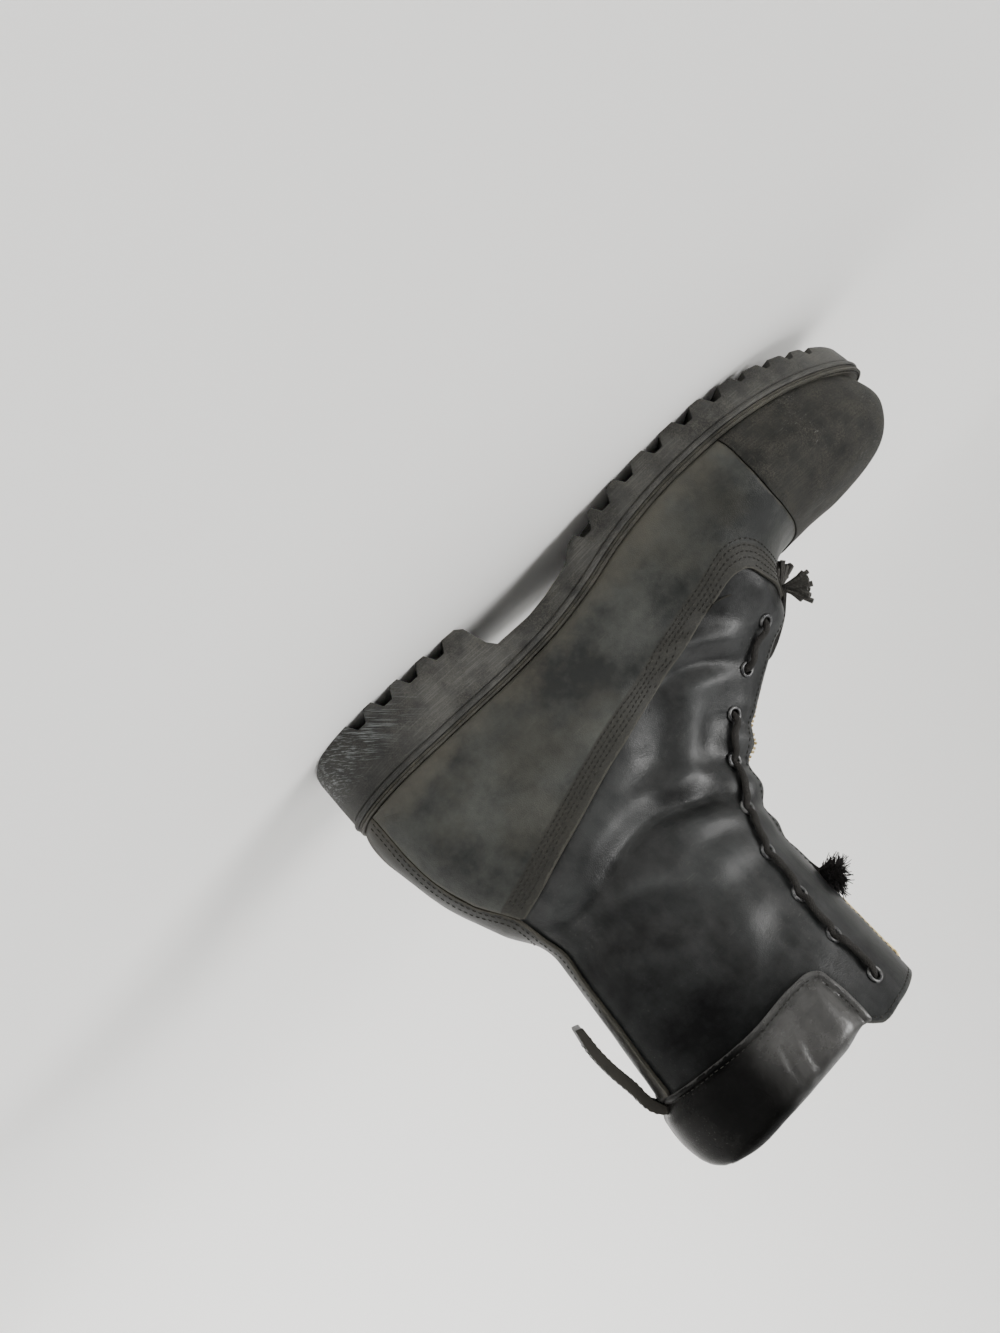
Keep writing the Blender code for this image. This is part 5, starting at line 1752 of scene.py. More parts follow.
@dataclass
class Throat:
    """What lies behind the lacing: the tongue, the two leather panels and the closed zip."""

    bed: Bed
    wall: float = 2.4
    panel: float = 1.6
    tongue: float = 3.0
    tongue_half: float = 30.0
    panel_half: float = 26.0
    panel_seam: float = 2.2
    foot_section: float = 7.0
    zip_front: float = 206.0
    zip_half: float = 1.7
    pitch: float = 2.1
    tooth: tuple = (1.15, 2.1, 1.5)
    tooth_step: float = 0.55
    slider_low: float = 215.2

    def build(self) -> None:
        """Makes the tongue, the panels and the zip."""
        rim = below_rim()
        front = np.array(INSERT, float)
        net = self.bed.net(self.foot_section, COLLAR_TOP, 2.4, 2.0, back=False, reach=0.62)
        top = -self.wall - CLEAR

        def insert(points: np.ndarray) -> np.ndarray:
            """Signed distance from the insert's side view and the rim."""
            return np.minimum(within(front, flat_of(points)), within(rim, flat_of(points)))

        pattern = net.cut(
            lambda points: np.minimum(insert(points), self.tongue_half - np.abs(points[..., 1])))
        self.bed.layer("boot_tongue", pattern, top - self.panel - CLEAR, self.tongue, "shaft lining raw",
                       "tongue_leather", "tongue")
        for side in Side:
            near = self.zip_half + CLEAR

            def inside(points: np.ndarray) -> np.ndarray:
                """Signed distance from the edges of one panel."""
                y = points[..., 1] * side.value
                return np.minimum(insert(points), np.minimum(y - near, self.panel_half - y))

            pattern = net.cut(inside)
            _, cloth = self.bed.layer(f"zip_panel_{side.label}_leather", pattern, top, self.panel,
                                      "shaft raw raw", "panel_leather", f"zip_panel_{side.label}")
            beside = net.points[..., 1] * side.value - near - self.panel_seam
            lines = net.seam(beside, insert(net.points) > 1.0)
            name = f"zip_panel_stitches_{side.label}"
            self.bed.sewn(name, lines, cloth, Needle(2.6, 1.8, 0.26), "panel_leather")
        self.zip_chain(top)

    def ridge(self, low: float, high: float) -> tuple[np.ndarray, np.ndarray]:
        """Points every pitch up the last's ridge between two heights, with their normals."""
        points = self.bed.last.point(np.linspace(self.foot_section, COLLAR_TOP, 900), 0.0)
        ahead = np.gradient(points, axis=0)
        normals = np.cross([0, 1, 0], ahead)
        normals /= np.linalg.norm(normals, axis=1)[:, None]
        normals *= np.sign(normals[:, :1])
        points = points + normals * self.bed.creases.height(points)[:, None]
        keep = (points[:, 2] < high) & (points[:, 0] < self.zip_front) & (points[:, 2] > low)
        points, normals = points[keep], normals[keep]
        lengths = run_of(points)
        places = np.arange(0, lengths[-1], self.pitch)
        return spread(points, lengths, places), spread(normals, lengths, places)

    def zip_chain(self, top: float) -> None:
        """The closed zip: woven tape with two rows of interlocked teeth."""
        shades = self.bed.finishes
        route, normals = self.ridge(60, self.slider_low)
        tape_points, tape_faces, _ = sweep(
            route + normals * (top - 1.0), np.full(len(route), self.zip_half + 0.2), normals, 8, 0.3)
        tape = self.bed.piece("zip_tape", tape_points, tape_faces)
        Bench.finish(tape, 60, [shades.tape], "panel_leather")
        tooth = Bench.block("tooth", self.tooth, (0, 0, 0))
        Bench.apply(tooth, "BEVEL", width=0.3, segments=1)
        shape = np.array([v.co for v in tooth.data.vertices])
        shape_faces = [tuple(p.vertices) for p in tooth.data.polygons]
        bpy.data.objects.remove(tooth)
        points, faces = [], []
        for number, (place, normal) in enumerate(zip(route, normals)):
            ahead = np.cross(normal, [0, 1, 0])
            frame = np.array([ahead, [0, 1, 0], normal])
            moved = shape + [0, self.tooth_step if number % 2 else -self.tooth_step, top + 0.35]
            base = len(points) * len(shape)
            points.append(moved @ frame + place)
            faces += [tuple(base + i for i in face) for face in shape_faces]
        chain = self.bed.piece("zip_tooth_rows", np.concatenate(points), faces)
        Bench.finish(chain, 30, [shades.brass], "zip_teeth", ["zip_chain"])


# ---------------------------------------------------------------- lacing and zip fittings

# Free ends of the lace, from inside the throat outwards, in millimetres on the last.
LACE_ENDS = {
    "lace_end_upper": [
        (126.8, 3.2, 156.0), (129.4, 4.6, 160.0), (130.4, 5.0, 166.2), (130.6, 5.4, 174.0),
        (132.2, 6.2, 180.6), (136.6, 7.4, 185.4),
    ],
    "lace_end_lower": [
        (180.0, 3.2, 96.4), (184.4, 4.4, 97.2), (189.4, 4.8, 95.6), (196.0, 5.1, 92.4), (203.0, 5.7, 88.0),
        (208.6, 6.1, 83.2), (212.4, 6.3, 80.6), (215.0, 6.3, 82.4),
    ],
    "lace_end_foot": [
        (187.0, -3.2, 92.4), (191.2, -4.6, 93.2), (196.6, -5.2, 92.0), (203.2, -5.5, 89.6),
        (208.8, -5.7, 85.8), (213.3, -5.9, 80.4), (217.6, -6.3, 75.4),
    ],
}


@dataclass
class Fringe:
    """The frayed end of a lace: fibres, or thicker strands that stay together."""

    strands: int
    length: tuple[float, float]
    radius: tuple[float, float]
    spread: float
    droop: float
    seed: int
    back: float = 0.0
    wave: float = 0.0

    def build(self, name: str, last: Last, root: np.ndarray, ahead: np.ndarray) -> bpy.types.Object:
        """Makes the fringe.

        Args:
            name: the piece's name.
            last: turns millimetres into the frame of the solids.
            root: where the lace ends.
            ahead: the direction in which it ends.

        Returns:
            The piece.
        """
        draw = np.random.default_rng(self.seed)
        side = np.cross(ahead, [0.0, 1.0, 0.2])
        side /= np.linalg.norm(side)
        other = np.cross(ahead, side)
        points, faces = [], []
        for number in range(self.strands):
            turn = number * 2.4
            wide = self.spread * math.sqrt((number + 0.5) / self.strands)
            out = side * math.cos(turn) + other * math.sin(turn)
            reach = draw.uniform(*self.length)
            curl = draw.normal(0, self.droop, 3)
            steps = np.linspace(0, 1, 6)[:, None]
            route = root - ahead * (1.6 + self.back * draw.random()) + out * 0.9 * min(wide, 1.0)
            route = route + (ahead + out * wide) * reach * steps + curl * steps ** 2
            route = route + draw.normal(0, self.wave, 3) * np.sin(5 * steps)
            radii = np.interp(steps[:, 0], [0, 1], self.radius)
            tube, tube_faces, _ = sweep(route, radii, np.tile(out, (6, 1)), 5, 0.8)
            base = sum(len(p) for p in points)
            points.append(tube)
            faces += [tuple(base + i for i in face) for face in tube_faces]
        obj = Bench.piece(name, last.place(np.concatenate(points)), faces)
        Bench.settle(obj, 60)
        return obj


FRINGES = {
    "lace_end_upper": Fringe(900, (2.4, 4.6), (0.34, 0.17), 2.0, 1.2, seed=11, back=7.5, wave=0.8),
    "lace_end_lower": Fringe(30, (7.5, 11.5), (0.95, 1.45), 0.66, 0.8, seed=5, back=3.0, wave=0.2),
    "lace_end_foot": Fringe(30, (7.5, 11.5), (0.95, 1.45), 0.66, 0.8, seed=8, back=3.0, wave=0.2),
}


@dataclass
class Lacing:
    """Eyelets, the lace's runs through them and its free ends."""

    bed: Bed
    shaft: Shaft
    outer: float = 3.7
    bore: float = 2.15
    lace: float = 1.62
    flat: float = 0.78
    end_radius: float = 1.9

    def turned_ring(self) -> bpy.types.Object:
        """One eyelet turned about z, with its barrel below and its rolled rim above."""
        profile = [
            (2.1, -0.3), (2.15, 0.35), (2.4, 0.8), (2.85, 1.0), (3.3, 0.86), (3.62, 0.45), (self.outer, 0.0),
            (3.6, -0.2), (2.45, -0.25), (2.4, -2.1), (self.bore, -2.1),
        ]
        Bench.clear()
        bpy.ops.mesh.primitive_circle_add(vertices=28, radius=self.bore * MM, location=(0, 0, -2.1 * MM))
        obj = bpy.context.object
        bpy.ops.object.transform_apply(location=True)
        bpy.ops.object.mode_set(mode="EDIT")
        bpy.ops.mesh.select_all(action="SELECT")
        radius, height = self.bore, -2.1
        for next_radius, next_height in profile:
            lift = (0, 0, (next_height - height) * MM)
            bpy.ops.mesh.extrude_edges_move(TRANSFORM_OT_translate={"value": lift})
            grow = next_radius / radius
            bpy.ops.transform.resize(value=(grow, grow, 1))
            radius, height = next_radius, next_height
        bpy.ops.mesh.select_all(action="SELECT")
        bpy.ops.mesh.remove_doubles(threshold=1e-5)
        bpy.ops.mesh.normals_make_consistent(inside=False)
        bpy.ops.object.mode_set(mode="OBJECT")
        return obj

    def seat(self, middle: np.ndarray) -> tuple[np.ndarray, np.ndarray]:
        """Where an eyelet sits on the creased leather, and its normal."""
        _, normal, _, _ = self.shaft.cloth.find_nearest(Vector(middle))
        frame = normal.to_track_quat("Z", "Y")
        rim = []
        for turn in np.linspace(0, 2 * math.pi, 10, endpoint=False):
            reach = Vector((math.cos(turn), math.sin(turn), 0)) * 3.9
            rim.append(np.array(self.shaft.cloth.find_nearest(Vector(middle) + frame @ reach)[0]))
        rim = np.array(rim)
        centre = rim.mean(axis=0)
        cross = np.cross(rim - centre, np.roll(rim, -1, axis=0) - centre).sum(axis=0)
        cross /= np.linalg.norm(cross)
        if cross @ np.array(normal) < 0:
            cross = -cross
        highest = ((rim - centre) @ cross).max()
        return centre + cross * max(0.0, highest * 0.7), cross

    def build(self) -> None:
        """Makes every eyelet, lace run and lace end."""
        last, shades = self.bed.last, self.bed.finishes
        ring = self.turned_ring()
        seats: dict = {}
        for name, middle in self.shaft.holes.items():
            centre, normal = self.seat(middle)
            seats[name] = (centre, normal)
            obj = bpy.data.objects.new(f"{name}_ring", ring.data.copy())
            bpy.context.scene.collection.objects.link(obj)
            turn = Vector(normal).to_track_quat("Z", "Y").to_matrix().to_4x4()
            obj.data.transform(Matrix.Translation(Vector(last.place(centre))) @ turn)
            Bench.finish(obj, 50, [shades.eyelet], "eyelet_metal", [name])
        bpy.data.objects.remove(ring)
        for side in Side:
            label = side.label
            for part, first, final in (("low", 1, 2), ("high", 3, len(EYELETS))):
                self.run(label, part, [seats[f"eyelet_{label}_{k}"] for k in range(first, final + 1)])
        self.ends()

    def run(self, label: str, part: str, seats: Sequence[tuple]) -> None:
        """One run of the lace outside the leather, which dips into each eyelet on its way."""
        low = CLEAR + self.lace * self.flat
        over = 1.0 + self.lace * self.flat
        route, ups = [], []
        for number, (centre, normal) in enumerate(seats):
            before = seats[number - 1][0] if number else None
            after = seats[number + 1][0] if number + 1 < len(seats) else None
            if before is None:
                ahead = (after - centre) / np.linalg.norm(after - centre)
                places = [(-1.2, -4.0), (-0.3, -0.6), (3.4, over)]
            elif after is None:
                ahead = (centre - before) / np.linalg.norm(centre - before)
                places = [(-3.4, over), (0.3, -0.6), (1.2, -4.0)]
            else:
                ahead = (after - before) / np.linalg.norm(after - before)
                places = [(-3.7, over), (0.0, -0.2), (3.7, over)]
            for reach, lift in places:
                route.append(centre + ahead * reach + normal * lift)
                ups.append(normal)
            if after is not None:
                sway = np.cross(normal, ahead) * 0.7 * (1 if number % 2 else -1)
                for share in (0.4, 0.6):
                    point = centre + (after - centre) * share + sway
                    place, up, _, _ = self.shaft.cloth.find_nearest(Vector(point))
                    route.append(np.array(place) + np.array(up) * (low + 0.3))
                    ups.append(np.array(up))
        fine = curve_through(route, 0.9)
        lengths = run_of(route)
        places = np.linspace(0, lengths[-1], len(fine))
        up = spread(ups, lengths, places)
        radii = self.lace * (1 + 0.05 * np.sin(places * 0.9 + len(seats)))
        points, faces, run = sweep(fine, radii, up, 14, self.flat)
        name = f"lace_{part}_{label}"
        obj = self.bed.piece(f"{name}_run", points, faces)
        unrolled(obj, 14, run)
        Bench.finish(obj, 60, [self.bed.finishes.lace], "lace", [name])

    def ends(self) -> None:
        """The free ends of the lace with what has become of their tips."""
        last, shades = self.bed.last, self.bed.finishes
        for name, table in LACE_ENDS.items():
            route = curve_through(table, 1.0)
            ups = np.tile([0.3, 0.0, 1.0], (len(route), 1))
            radii = np.full(len(route), self.end_radius)
            points, faces, run = sweep(route, radii, ups, 14, 1.0)
            obj = self.bed.piece(f"{name}_cord", points, faces)
            unrolled(obj, 14, run)
            Bench.settle(obj, 60)
            Bench.dress(obj, [shades.lace])
            ahead = route[-1] - route[-4]
            ahead /= np.linalg.norm(ahead)
            fringe = FRINGES[name].build(f"{name}_tip", last, route[-1], ahead)
            Bench.dress(fringe, [shades.fray if name == "lace_end_upper" else shades.stub])
            Bench.hand_over(obj, "lace", [name])
            Bench.hand_over(fringe, "lace")
            path = last.place(route)
            2 * self.end_radius * MM


@dataclass
class ZipFittings:
    """The slider with its bridge, and the pull tab that swings on it."""

    finishes: Finishes
    bridge_wall: float = 1.1
    bridge_half: float = 1.2
    eye_half: float = 1.75
    eye_low: float = 9.4
    end_hole: float = 1.5

    def build(self) -> None:
        """Makes the slider and the pull."""
        self.slider()
        self.pull()

    def slider(self) -> None:
        """The slider: a shouldered body with its side flanges, and the bridge over it."""
        low, high = (np.array(c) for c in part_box("zip_slider"))
        thick = (high[0] - low[0]) - 3.0 * MM
        face = low[0] + thick
        middle = (low + high) / 2
        body = Bench.block("zip_slider_body", (thick, high[1] - low[1], high[2] - low[2]),
                           (low[0] + thick / 2, middle[1], middle[2]))
        bpy.ops.object.mode_set(mode="EDIT")
        bpy.ops.mesh.select_all(action="SELECT")
        bpy.ops.mesh.subdivide(number_cuts=3)
        bpy.ops.object.mode_set(mode="OBJECT")
        for vertex in body.data.vertices:
            share = (vertex.co.z - low[2]) / (high[2] - low[2])
            waist = 0.72 + 0.28 * float(ease(np.array(share), 0.15, 0.6))
            vertex.co.y = middle[1] + (vertex.co.y - middle[1]) * waist
        Bench.soften(body, 0.7, 3, 40)
        slot = Bench.block("slot", (0.9 * MM, 20 * MM, 30 * MM), (low[0] + thick / 2, middle[1], middle[2]))
        slot.data.transform(Matrix.Translation((0, 13.4 * MM, 0)))
        other = Bench.block("slot", (0.9 * MM, 20 * MM, 30 * MM),
                            (low[0] + thick / 2, middle[1] - 13.4 * MM, middle[2]))
        Bench.cut(body, slot)
        Bench.cut(body, other)
        reach = high[0] - self.bridge_wall / 2 * MM
        base, top = low[2] + 2.1 * MM, high[2] - 2.1 * MM
        rise = [(face - 0.4 * MM, 0.0), (face + 0.9 * MM, 0.05 * MM), (reach - 0.3 * MM, 0.9 * MM),
                (reach, 2.4 * MM)]
        arch = [(x, base + up) for x, up in rise] + [(reach, middle[2])]
        arch += [(x, top - up) for x, up in rise[::-1]]
        line = curve_through([(x, middle[1], z) for x, z in arch], 0.4 * MM)
        bars = []
        for a, b in zip(line[:-1], line[1:]):
            ahead = (b - a) / np.linalg.norm(b - a)
            out = np.array([ahead[2], 0, -ahead[0]])
            bars.append((a, out))
        bars.append((line[-1], bars[-1][1]))
        half = self.bridge_wall / 2 * MM
        points = []
        for place, out in bars:
            wide = np.array([0, self.bridge_half * MM, 0])
            points += [place + out * half + wide, place + out * half - wide,
                       place - out * half - wide, place - out * half + wide]
        faces = [(0, 1, 2, 3), tuple(len(points) - k for k in (1, 2, 3, 4))] + tube_faces(len(bars), 4)
        bridge = Bench.piece("bridge", points, faces)
        Bench.tidy(bridge)
        Bench.soften(bridge, 0.25, 2, 50)
        slider = Bench.join("zip_slider_body", [body, bridge])
        Bench.finish(slider, 35, [self.finishes.brass], "zip_brass", ["zip_slider"])

    def pull(self) -> None:
        """The pull tab: a rounded plate with an eye for the bridge, a hole at its end and raised rims."""
        low, high = (np.array(c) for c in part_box("zip_pull"))
        middle = (low + high) / 2
        size = high - low
        plate = Bench.block("zip_pull_tab", size, middle)
        for vertex in plate.data.vertices:
            if vertex.co.z > middle[2]:
                vertex.co.y = middle[1] + (vertex.co.y - middle[1]) * 0.92
        bpy.ops.object.mode_set(mode="EDIT")
        bpy.ops.mesh.select_all(action="DESELECT")
        bpy.ops.object.mode_set(mode="OBJECT")
        for edge in plate.data.edges:
            a, b = (plate.data.vertices[i].co for i in edge.vertices)
            edge.select = abs(a.x - b.x) > size[0] / 2
        bpy.ops.object.mode_set(mode="EDIT")
        bpy.ops.mesh.select_mode(type="EDGE")
        bpy.ops.mesh.bevel(offset=1.7 * MM, segments=5)
        bpy.ops.object.mode_set(mode="OBJECT")
        top = high[2] - 1.0 * MM
        bottom = high[2] - 0.5 * MM - self.eye_low * MM
        eye = Bench.block("eye", (6 * MM, 2 * self.eye_half * MM, top - bottom),
                          (middle[0], middle[1], (top + bottom) / 2))
        Bench.cut(plate, eye)
        Bench.clear()
        bpy.ops.mesh.primitive_cylinder_add(vertices=24, radius=self.end_hole * MM, depth=6 * MM,
                                            location=(middle[0], middle[1], low[2] + 4.5 * MM),
                                            rotation=(0, math.pi / 2, 0))
        hole = bpy.context.object
        bpy.ops.object.transform_apply(location=True, rotation=True, scale=True)
        Bench.cut(plate, hole)
        Bench.soften(plate, 0.22, 2, 50)
        Bench.finish(plate, 35, [self.finishes.brass], "zip_brass", ["zip_pull"], role=Role.PULL)


@dataclass
class PullStrap:
    """The leather loop's tail behind the collar: a thick strap that curves away from the shaft."""

    bed: Bed
    width: float = 18.0

    def build(self) -> None:
        """Makes the strap, with a row of stitches down each side."""
        shades = self.bed.finishes
        outer = curve_through([(19.2, 202.5), (17.0, 199.4)] + STRAP_OUTER, 2.0)
        inner = curve_through([(17.4, 204.5), (14.0, 200.2)] + STRAP_INNER, 2.0)
        count = min(len(outer), len(inner))
        places = np.linspace(0, 1, count)
        sides = []
        for line in (outer, inner):
            sides.append(spread(line, np.linspace(0, 1, len(line)), places))
        through = sides[0] - sides[1]
        through /= np.maximum(np.linalg.norm(through, axis=1), 0.8)[:, None]
        padding = (0.95 * (1 - 0.6 * places) * ease(places, 0.0, 0.15))[:, None]
        sides = [sides[0] + padding * through, sides[1] - padding * through]
        loop = np.vstack([sides[0], sides[1][::-1]])
        across = np.linspace(-1, 1, 11)
        points = []
        reach = np.r_[places, places[::-1]]
        for share in across:
            round_ = 1 - 0.10 * ease(reach, 0.86, 1.0) - 0.05 * ease(reach, 0.3, 0.9)
            y = share * self.width / 2 * round_
            cup = 0.5 * (1 - share ** 2) * ease(reach, 0.1, 0.6)
            points.append(np.c_[loop[:, 0] - cup, y, loop[:, 1] + 0.7 * share * reach])
        size = len(loop)
        faces = tube_faces(len(across), size)
        for base in (0, (len(across) - 1) * size):
            faces += [(base + i, base + i + 1, base + size - 2 - i, base + size - 1 - i)
                      for i in range(count - 1)]
        allp = np.concatenate(points)
        obj = self.bed.piece("boot_pull_strap", allp, faces)
        near = np.minimum(np.abs(np.abs(np.repeat(across, size)) - 1) * self.width / 2, 9)
        Bench.mark(obj, "edge", near + 0.25)
        Bench.tidy(obj)
        Bench.soften(obj, 0.55, 3, 50)
        Bench.finish(obj, 45, [shades.strap], "strap_leather", ["pull_strap"])
        cloth = BVHTree.FromPolygons([Vector(p) for p in allp], faces)
        seams = []
        for side in (-1, 1):
            for line, shift in ((sides[0], 1.0), (sides[1], -1.0)):
                y = np.full(count, side * (self.width / 2 - 2.2))
                seams.append(np.c_[line[:, 0] + shift, y, line[:, 1]][1:-2])
        self.bed.sewn("strap_stitches", seams, cloth, Needle(2.8, 2.0, 0.28), "strap_leather")


# ---------------------------------------------------------------- sole


def ringed(rings: Sequence[np.ndarray], hole: bool = False) -> tuple[np.ndarray, list]:
    """A solid through closed rings of equal count.

    Args:
        rings: the rings' points.
        hole: joins the last ring to the first instead of closing both ends.

    Returns:
        Points and faces.
    """
    count, layers = len(rings[0]), len(rings)
    faces = []
    for k in range(layers if hole else layers - 1):
        low, high = k * count, (k + 1) % layers * count
        faces += [(low + i, low + (i + 1) % count, high + (i + 1) % count, high + i) for i in range(count)]
    if not hole:
        for base in (0, (layers - 1) * count):
            for i in range(count // 2):
                face = (base + i, base + i + 1, base + (count - i - 1) % count, base + (count - i) % count)
                face = tuple(dict.fromkeys(face))
                if len(face) > 2:
                    faces.append(face)
    return np.concatenate(rings), faces


@dataclass
class Sole:
    """The moulded sole with its lugs, the welt on it and the footbed inside."""

    bed: Bed
    setback: float = 0.6
    welt_width: float = 9.2
    welt_thick: float = 2.6
    lip: float = 2.4
    lip_proud: float = 0.9
    draft: float = 2.0
    lug: float = 5.2
    notch_floor: float = 4.6
    notch_flare: float = 29.0
    notch_reach: float = 21.0
    channel_inset: float = 19.5
    channel_width: float = 5.0
    channel_depth: float = 4.4
    channels: tuple = ((12, 81), (160, 300))
    notches: tuple = (29, 44, 58.5, 73.5, 154, 167, 182, 199, 217, 234, 250, 265, 279, 291)
    bars: tuple = (34, 50, 66, 176, 196, 216, 236, 256)

    def tread(self, x: np.ndarray) -> np.ndarray:
        """Height of the tread at x."""
        return np.interp(x, TREAD[:, 0], TREAD[:, 1])

    def seat(self, x: np.ndarray) -> np.ndarray:
        """Height of the sole's top under the welt."""
        return feather(x) - self.welt_thick - 2 * CLEAR

    def ring(self, inset: float, height: Callable[[np.ndarray], np.ndarray]) -> np.ndarray:
        """The plan set in by a distance, at a height that is a function of x."""
        loop = self.bed.last.plan.loop(lambda x: np.full(len(x), inset))
        return np.c_[loop, height(loop[:, 0])]

    def build(self) -> None:
        """Makes the sole, the welt and the footbed."""
        self.outsole()
        self.welt()
        self.footbed()

    def outsole(self) -> None:
        """The rubber unit, with a worn wall, a lip under the welt and its cut tread."""
        inner = self.setback + self.welt_width + CLEAR
        rings = [self.ring(self.draft, self.tread)]
        for share, bow in ((0.05, 0.35), (0.3, 0.3), (0.6, 0.25), (0.85, 0.1)):
            inset = self.draft + (self.lip_proud - self.draft) * share - bow

            def height(x: np.ndarray, share: float = share) -> np.ndarray:
                """A height between the tread and the lip."""
                return self.tread(x) + (self.seat(x) - self.lip - self.tread(x)) * share

            rings.append(self.ring(inset, height))
        lip = [(self.lip_proud, 0.75), (self.lip_proud + 0.5, 0.35), (self.lip_proud + 0.35, 0.0),
               (0.25, -0.3), (0.0, -0.8), (0.0, -1.7), (0.35, -2.4)]
        for inset, drop in lip:
            rings.append(self.ring(inset, lambda x, drop=drop: self.seat(x) - self.lip - drop))
        rings.append(self.ring(inner, self.seat))
        rings.append(self.ring(inner, lambda x: feather(x) - CLEAR))
        points, faces = ringed(rings)
        obj = self.bed.piece("boot_outsole", points, faces)
        Bench.tidy(obj)
        Bench.cut(obj, self.notch_cutter())
        for low, high in self.channels:
            Bench.cut(obj, self.channel_cutter(low, high))
        Bench.cut(obj, self.bar_cutter())
        Bench.soften(obj, 0.5, 2, 38)
        Bench.finish(obj, 38, [self.bed.finishes.sole], "sole_rubber", ["outsole"])

    def prisms(self, name: str, ends: Sequence[tuple]) -> bpy.types.Object:
        """A cutter of straight bars, each between two end outlines of four points."""
        points = np.array([p for pair in ends for end in pair for p in end])
        quads = [(0, 1, 2, 3), (7, 6, 5, 4), (0, 4, 5, 1), (1, 5, 6, 2), (2, 6, 7, 3), (3, 7, 4, 0)]
        faces = [tuple(8 * k + i for i in quad) for k in range(len(ends)) for quad in quads]
        obj = self.bed.piece(name, points, faces)
        Bench.tidy(obj, 1e-8)
        return obj

    def groove(self, half: float, floor: float, depth: float) -> list:
        """The outline of a groove that flares towards the floor, as (offset, z)."""
        mouth = half + (depth + 2) * math.tan(math.radians(self.notch_flare))
        low = floor - depth - 2
        return [(-half, floor), (half, floor), (mouth, low), (-mouth, low)]

    def notch_cutter(self) -> bpy.types.Object:
        """Flared notches square to both edges."""
        ends = []
        for side in Side:
            line = self.bed.last.plan.edge(lambda x: np.zeros(len(x)), side)
            for x in self.notches:
                before, y, after = np.interp((x - 3, x, x + 3), line[:, 0], line[:, 1])
                along = np.array([6, after - before, 0]) / math.hypot(6, after - before)
                inward = np.array([along[1], -along[0], 0])
                inward = -inward if inward[1] * y > 0 else inward
                scale = 0.7 if x > 240 else 1.0
                floor = float(self.tread(np.array(x))) + self.lug * scale
                profile = self.groove(self.notch_floor * scale / 2, floor, self.lug * scale)
                edge = np.array([x, y, 0])
                pair = [[edge + inward * r + along * a + [0, 0, z] for a, z in profile]
                        for r in (-4, self.notch_reach)]
                ends.append(pair)
        return self.prisms("notches", ends)

    def channel_cutter(self, low: float, high: float) -> bpy.types.Object:
        """A groove of even width inside the side lugs, over one stretch of the sole."""
        insets = (self.channel_inset, self.channel_inset + self.channel_width)
        loops = [self.ring(inset, self.tread) for inset in insets]
        if high > 200:
            turn = int(len(loops[0]) / 2) - 6
            loops = [np.roll(loop, turn, axis=0) for loop in loops]
        rings = []
        for outer, inner in list(zip(*loops))[::3]:
            if low <= outer[0] <= high:
                up = outer[2] + self.channel_depth
                corners = ((outer, up), (inner, up), (inner, up - 12), (outer, up - 12))
                rings.append(np.array([(*edge[:2], z) for edge, z in corners]))
        points, faces = ringed(rings)
        obj = self.bed.piece("channel", points, faces)
        Bench.tidy(obj)
        return obj

    def bar_cutter(self) -> bpy.types.Object:
        """Straight grooves between the two runs of the channel."""
        inset = self.channel_inset + self.channel_width / 2
        plan = self.bed.last.plan
        ends = []
        for x in self.bars:
            floor = float(self.tread(np.array(x))) + self.channel_depth
            profile = self.groove(2.0, floor, self.channel_depth)
            low = inset - float(plan.half(np.array(float(x)), Side.LATERAL))
            high = float(plan.half(np.array(float(x)), Side.MEDIAL)) - inset
            ends.append([[(x + a, y, z) for a, z in profile] for y in (low, high)])
        return self.prisms("bars", ends)

    def welt(self) -> None:
        """The strip between sole and upper, with a stitching groove along its top."""
        inner = self.setback + self.welt_width
        drop = -self.welt_thick - CLEAR
        profile = [
            (self.setback + 0.3, drop), (inner, drop), (inner, -0.05), (3.4, -0.05), (3.0, -0.55),
            (2.2, -0.6), (1.9, -0.2), (self.setback + 0.5, -0.2), (self.setback, -0.6), (self.setback, -1.5),
            (self.setback + 0.35, -1.75), (self.setback, -2.0),
        ]
        rings = [self.ring(inset, lambda x, up=up: feather(x) + up) for inset, up in profile]
        points, faces = ringed(rings, hole=True)
        obj = self.bed.piece("boot_welt", points, faces)
        Bench.tidy(obj)
        Bench.finish(obj, 40, [self.bed.finishes.welt], "welt", ["welt"])
        cloth = BVHTree.FromPolygons([Vector(p) for p in points], faces)
        loop = self.ring(2.6, lambda x: feather(x) + 0.2)
        line = np.vstack([loop, loop[:1]])
        self.bed.sewn("welt_stitches", [line], cloth, Needle(3.4, 2.4, 0.36), "welt")

    def footbed(self) -> None:
        """The cloth-covered footbed, hollowed a little by the foot."""
        plan = self.bed.last.plan
        rings = []
        for inset, up in ((0, 0.0), (0, 3.2), (0.7, 3.9), (4, 4.0), (10, 3.3), (18, 2.7)):
            loop = plan.loop(lambda x, inset=inset: ledge(x) + 4.9 + inset)
            rings.append(np.c_[loop, feather(loop[:, 0]) + up])
        points, faces = ringed(rings)
        obj = self.bed.piece("boot_footbed", points, faces)
        Bench.tidy(obj)
        Bench.finish(obj, 50, [self.bed.finishes.footbed], "footbed", ["insole"])


# ---------------------------------------------------------------- studio


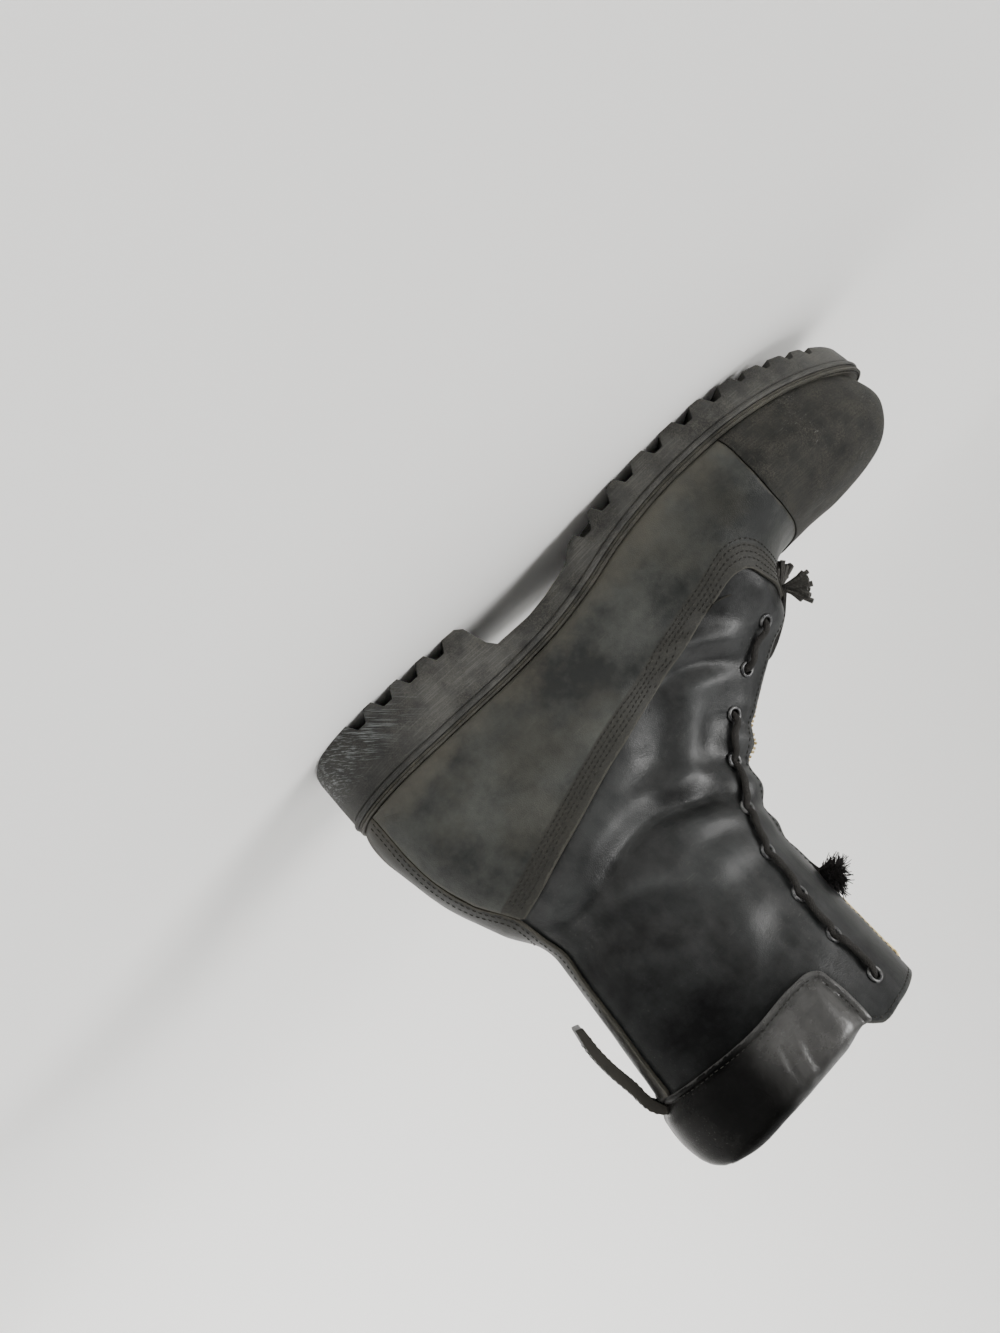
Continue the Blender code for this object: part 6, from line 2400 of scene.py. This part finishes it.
@dataclass
class Studio:
    """Camera, pale floor and soft light."""

    eye: tuple = (-0.15632, 0.52666, 0.11862)
    right: tuple = (0.7314, 0.0, 0.6819)
    back: tuple = (-0.172, 0.968, 0.184)
    lens: float = 32.69
    pale: tuple = rgb(0.87, 0.865, 0.85)
    flat: float = 1.5
    wall: float = 1.6
    taller_behind: float = 0.8
    warm: tuple = (1.0, 0.995, 0.98)

    def camera(self) -> None:
        """The camera, rolled as the boot is looked at."""
        data = bpy.data.cameras.new("camera")
        data.lens = self.lens
        data.sensor_width = 36.0
        camera = bpy.data.objects.new("camera", data)
        back = Vector(self.back).normalized()
        right = (Vector(self.right) - back * Vector(self.right).dot(back)).normalized()
        turn = Matrix((right, back.cross(right), back)).transposed().to_4x4()
        camera.matrix_world = Matrix.Translation(Vector(self.eye)) @ turn
        bpy.context.scene.collection.objects.link(camera)
        bpy.context.scene.camera = camera

    def floor(self) -> None:
        """A wide pale floor that rises softly into a backdrop all round, highest behind the boot."""
        radii = np.r_[0.3, 0.8, np.linspace(1.4, 3.6, 24)]
        away = np.maximum(radii - self.flat, 0.0) / (radii[-1] - self.flat)
        heights = self.wall * away ** 2.2
        sides = 96
        turns = np.linspace(0, 2 * math.pi, sides, endpoint=False)
        behind = 1 + self.taller_behind * ease(-np.sin(turns), -0.2, 0.6)
        points = [(0, 0, 0)]
        faces = []
        for radius, height in zip(radii, heights):
            points += np.c_[radius * np.cos(turns), radius * np.sin(turns), height * behind].tolist()
        faces += [(0, 1 + i, 1 + (i + 1) % sides) for i in range(sides)]
        for k in range(len(radii) - 1):
            for i in range(sides):
                j = (i + 1) % sides
                a = 1 + k * sides
                faces.append((a + i, a + sides + i, a + sides + j, a + j))
        obj = Bench.piece("floor", points, faces)
        Bench.settle(obj, 60)
        made, board, shader = painted("pale floor")
        board.fill(shader, {"Base Color": self.pale, "Roughness": 0.85})
        Bench.dress(obj, [made])
        obj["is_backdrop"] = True

    def lamp(self, name: str, toward: tuple, strength: float, wide: float) -> None:
        """One soft light from far away, which comes from a direction."""
        data = bpy.data.lights.new(name, "SUN")
        data.energy, data.angle, data.color = strength, math.radians(wide), self.warm
        lamp = bpy.data.objects.new(name, data)
        lamp.rotation_euler = Vector(toward).to_track_quat("Z", "Y").to_euler()
        bpy.context.scene.collection.objects.link(lamp)

    def build(self) -> None:
        """Sets the studio up."""
        self.camera()
        self.floor()
        world = bpy.data.worlds.new("studio")
        world.use_nodes = True
        sky = {"Color": rgb(0.98, 0.99, 1.0), "Strength": 0.24}
        Board(world.node_tree).fill(world.node_tree.nodes["Background"], sky)
        bpy.context.scene.world = world
        self.lamp("key", (0.78, 0.55, 0.40), 6.6, 34.0)
        self.lamp("ceiling", (0.0, -0.1, 1.0), 2.0, 70.0)


def corners() -> list:
    """The shown object's lowest and highest corners as plain lists."""
    return [[float(x) for x in corner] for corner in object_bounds()]


def main() -> None:
    """Builds and dresses the boot piece by piece."""
    logging.basicConfig(level=logging.INFO, format="%(name)s %(message)s")
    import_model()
    sizes = {"cad": corners()}
    Bench.clear()
    low = np.array(sizes["cad"][0]) / MM
    plan = Plan()
    last = Last(plan, shift=(float(low[0]) - plan.back, 1.0))
    Studio().build()
    finishes = Finishes()
    bed = Bed(last, Creases(), finishes)
    shaft = Shaft(bed)
    shaft.build()
    Lacing(bed, shaft).build()
    Vamp(bed).build()
    ToeCap(bed).build()
    BackStay(bed).build()
    Collar(bed).build()
    Throat(bed).build()
    ZipFittings(finishes).build()
    PullStrap(bed).build()
    Sole(bed).build()
    sizes["visual"] = corners()


if __name__ == "__main__":
    main()
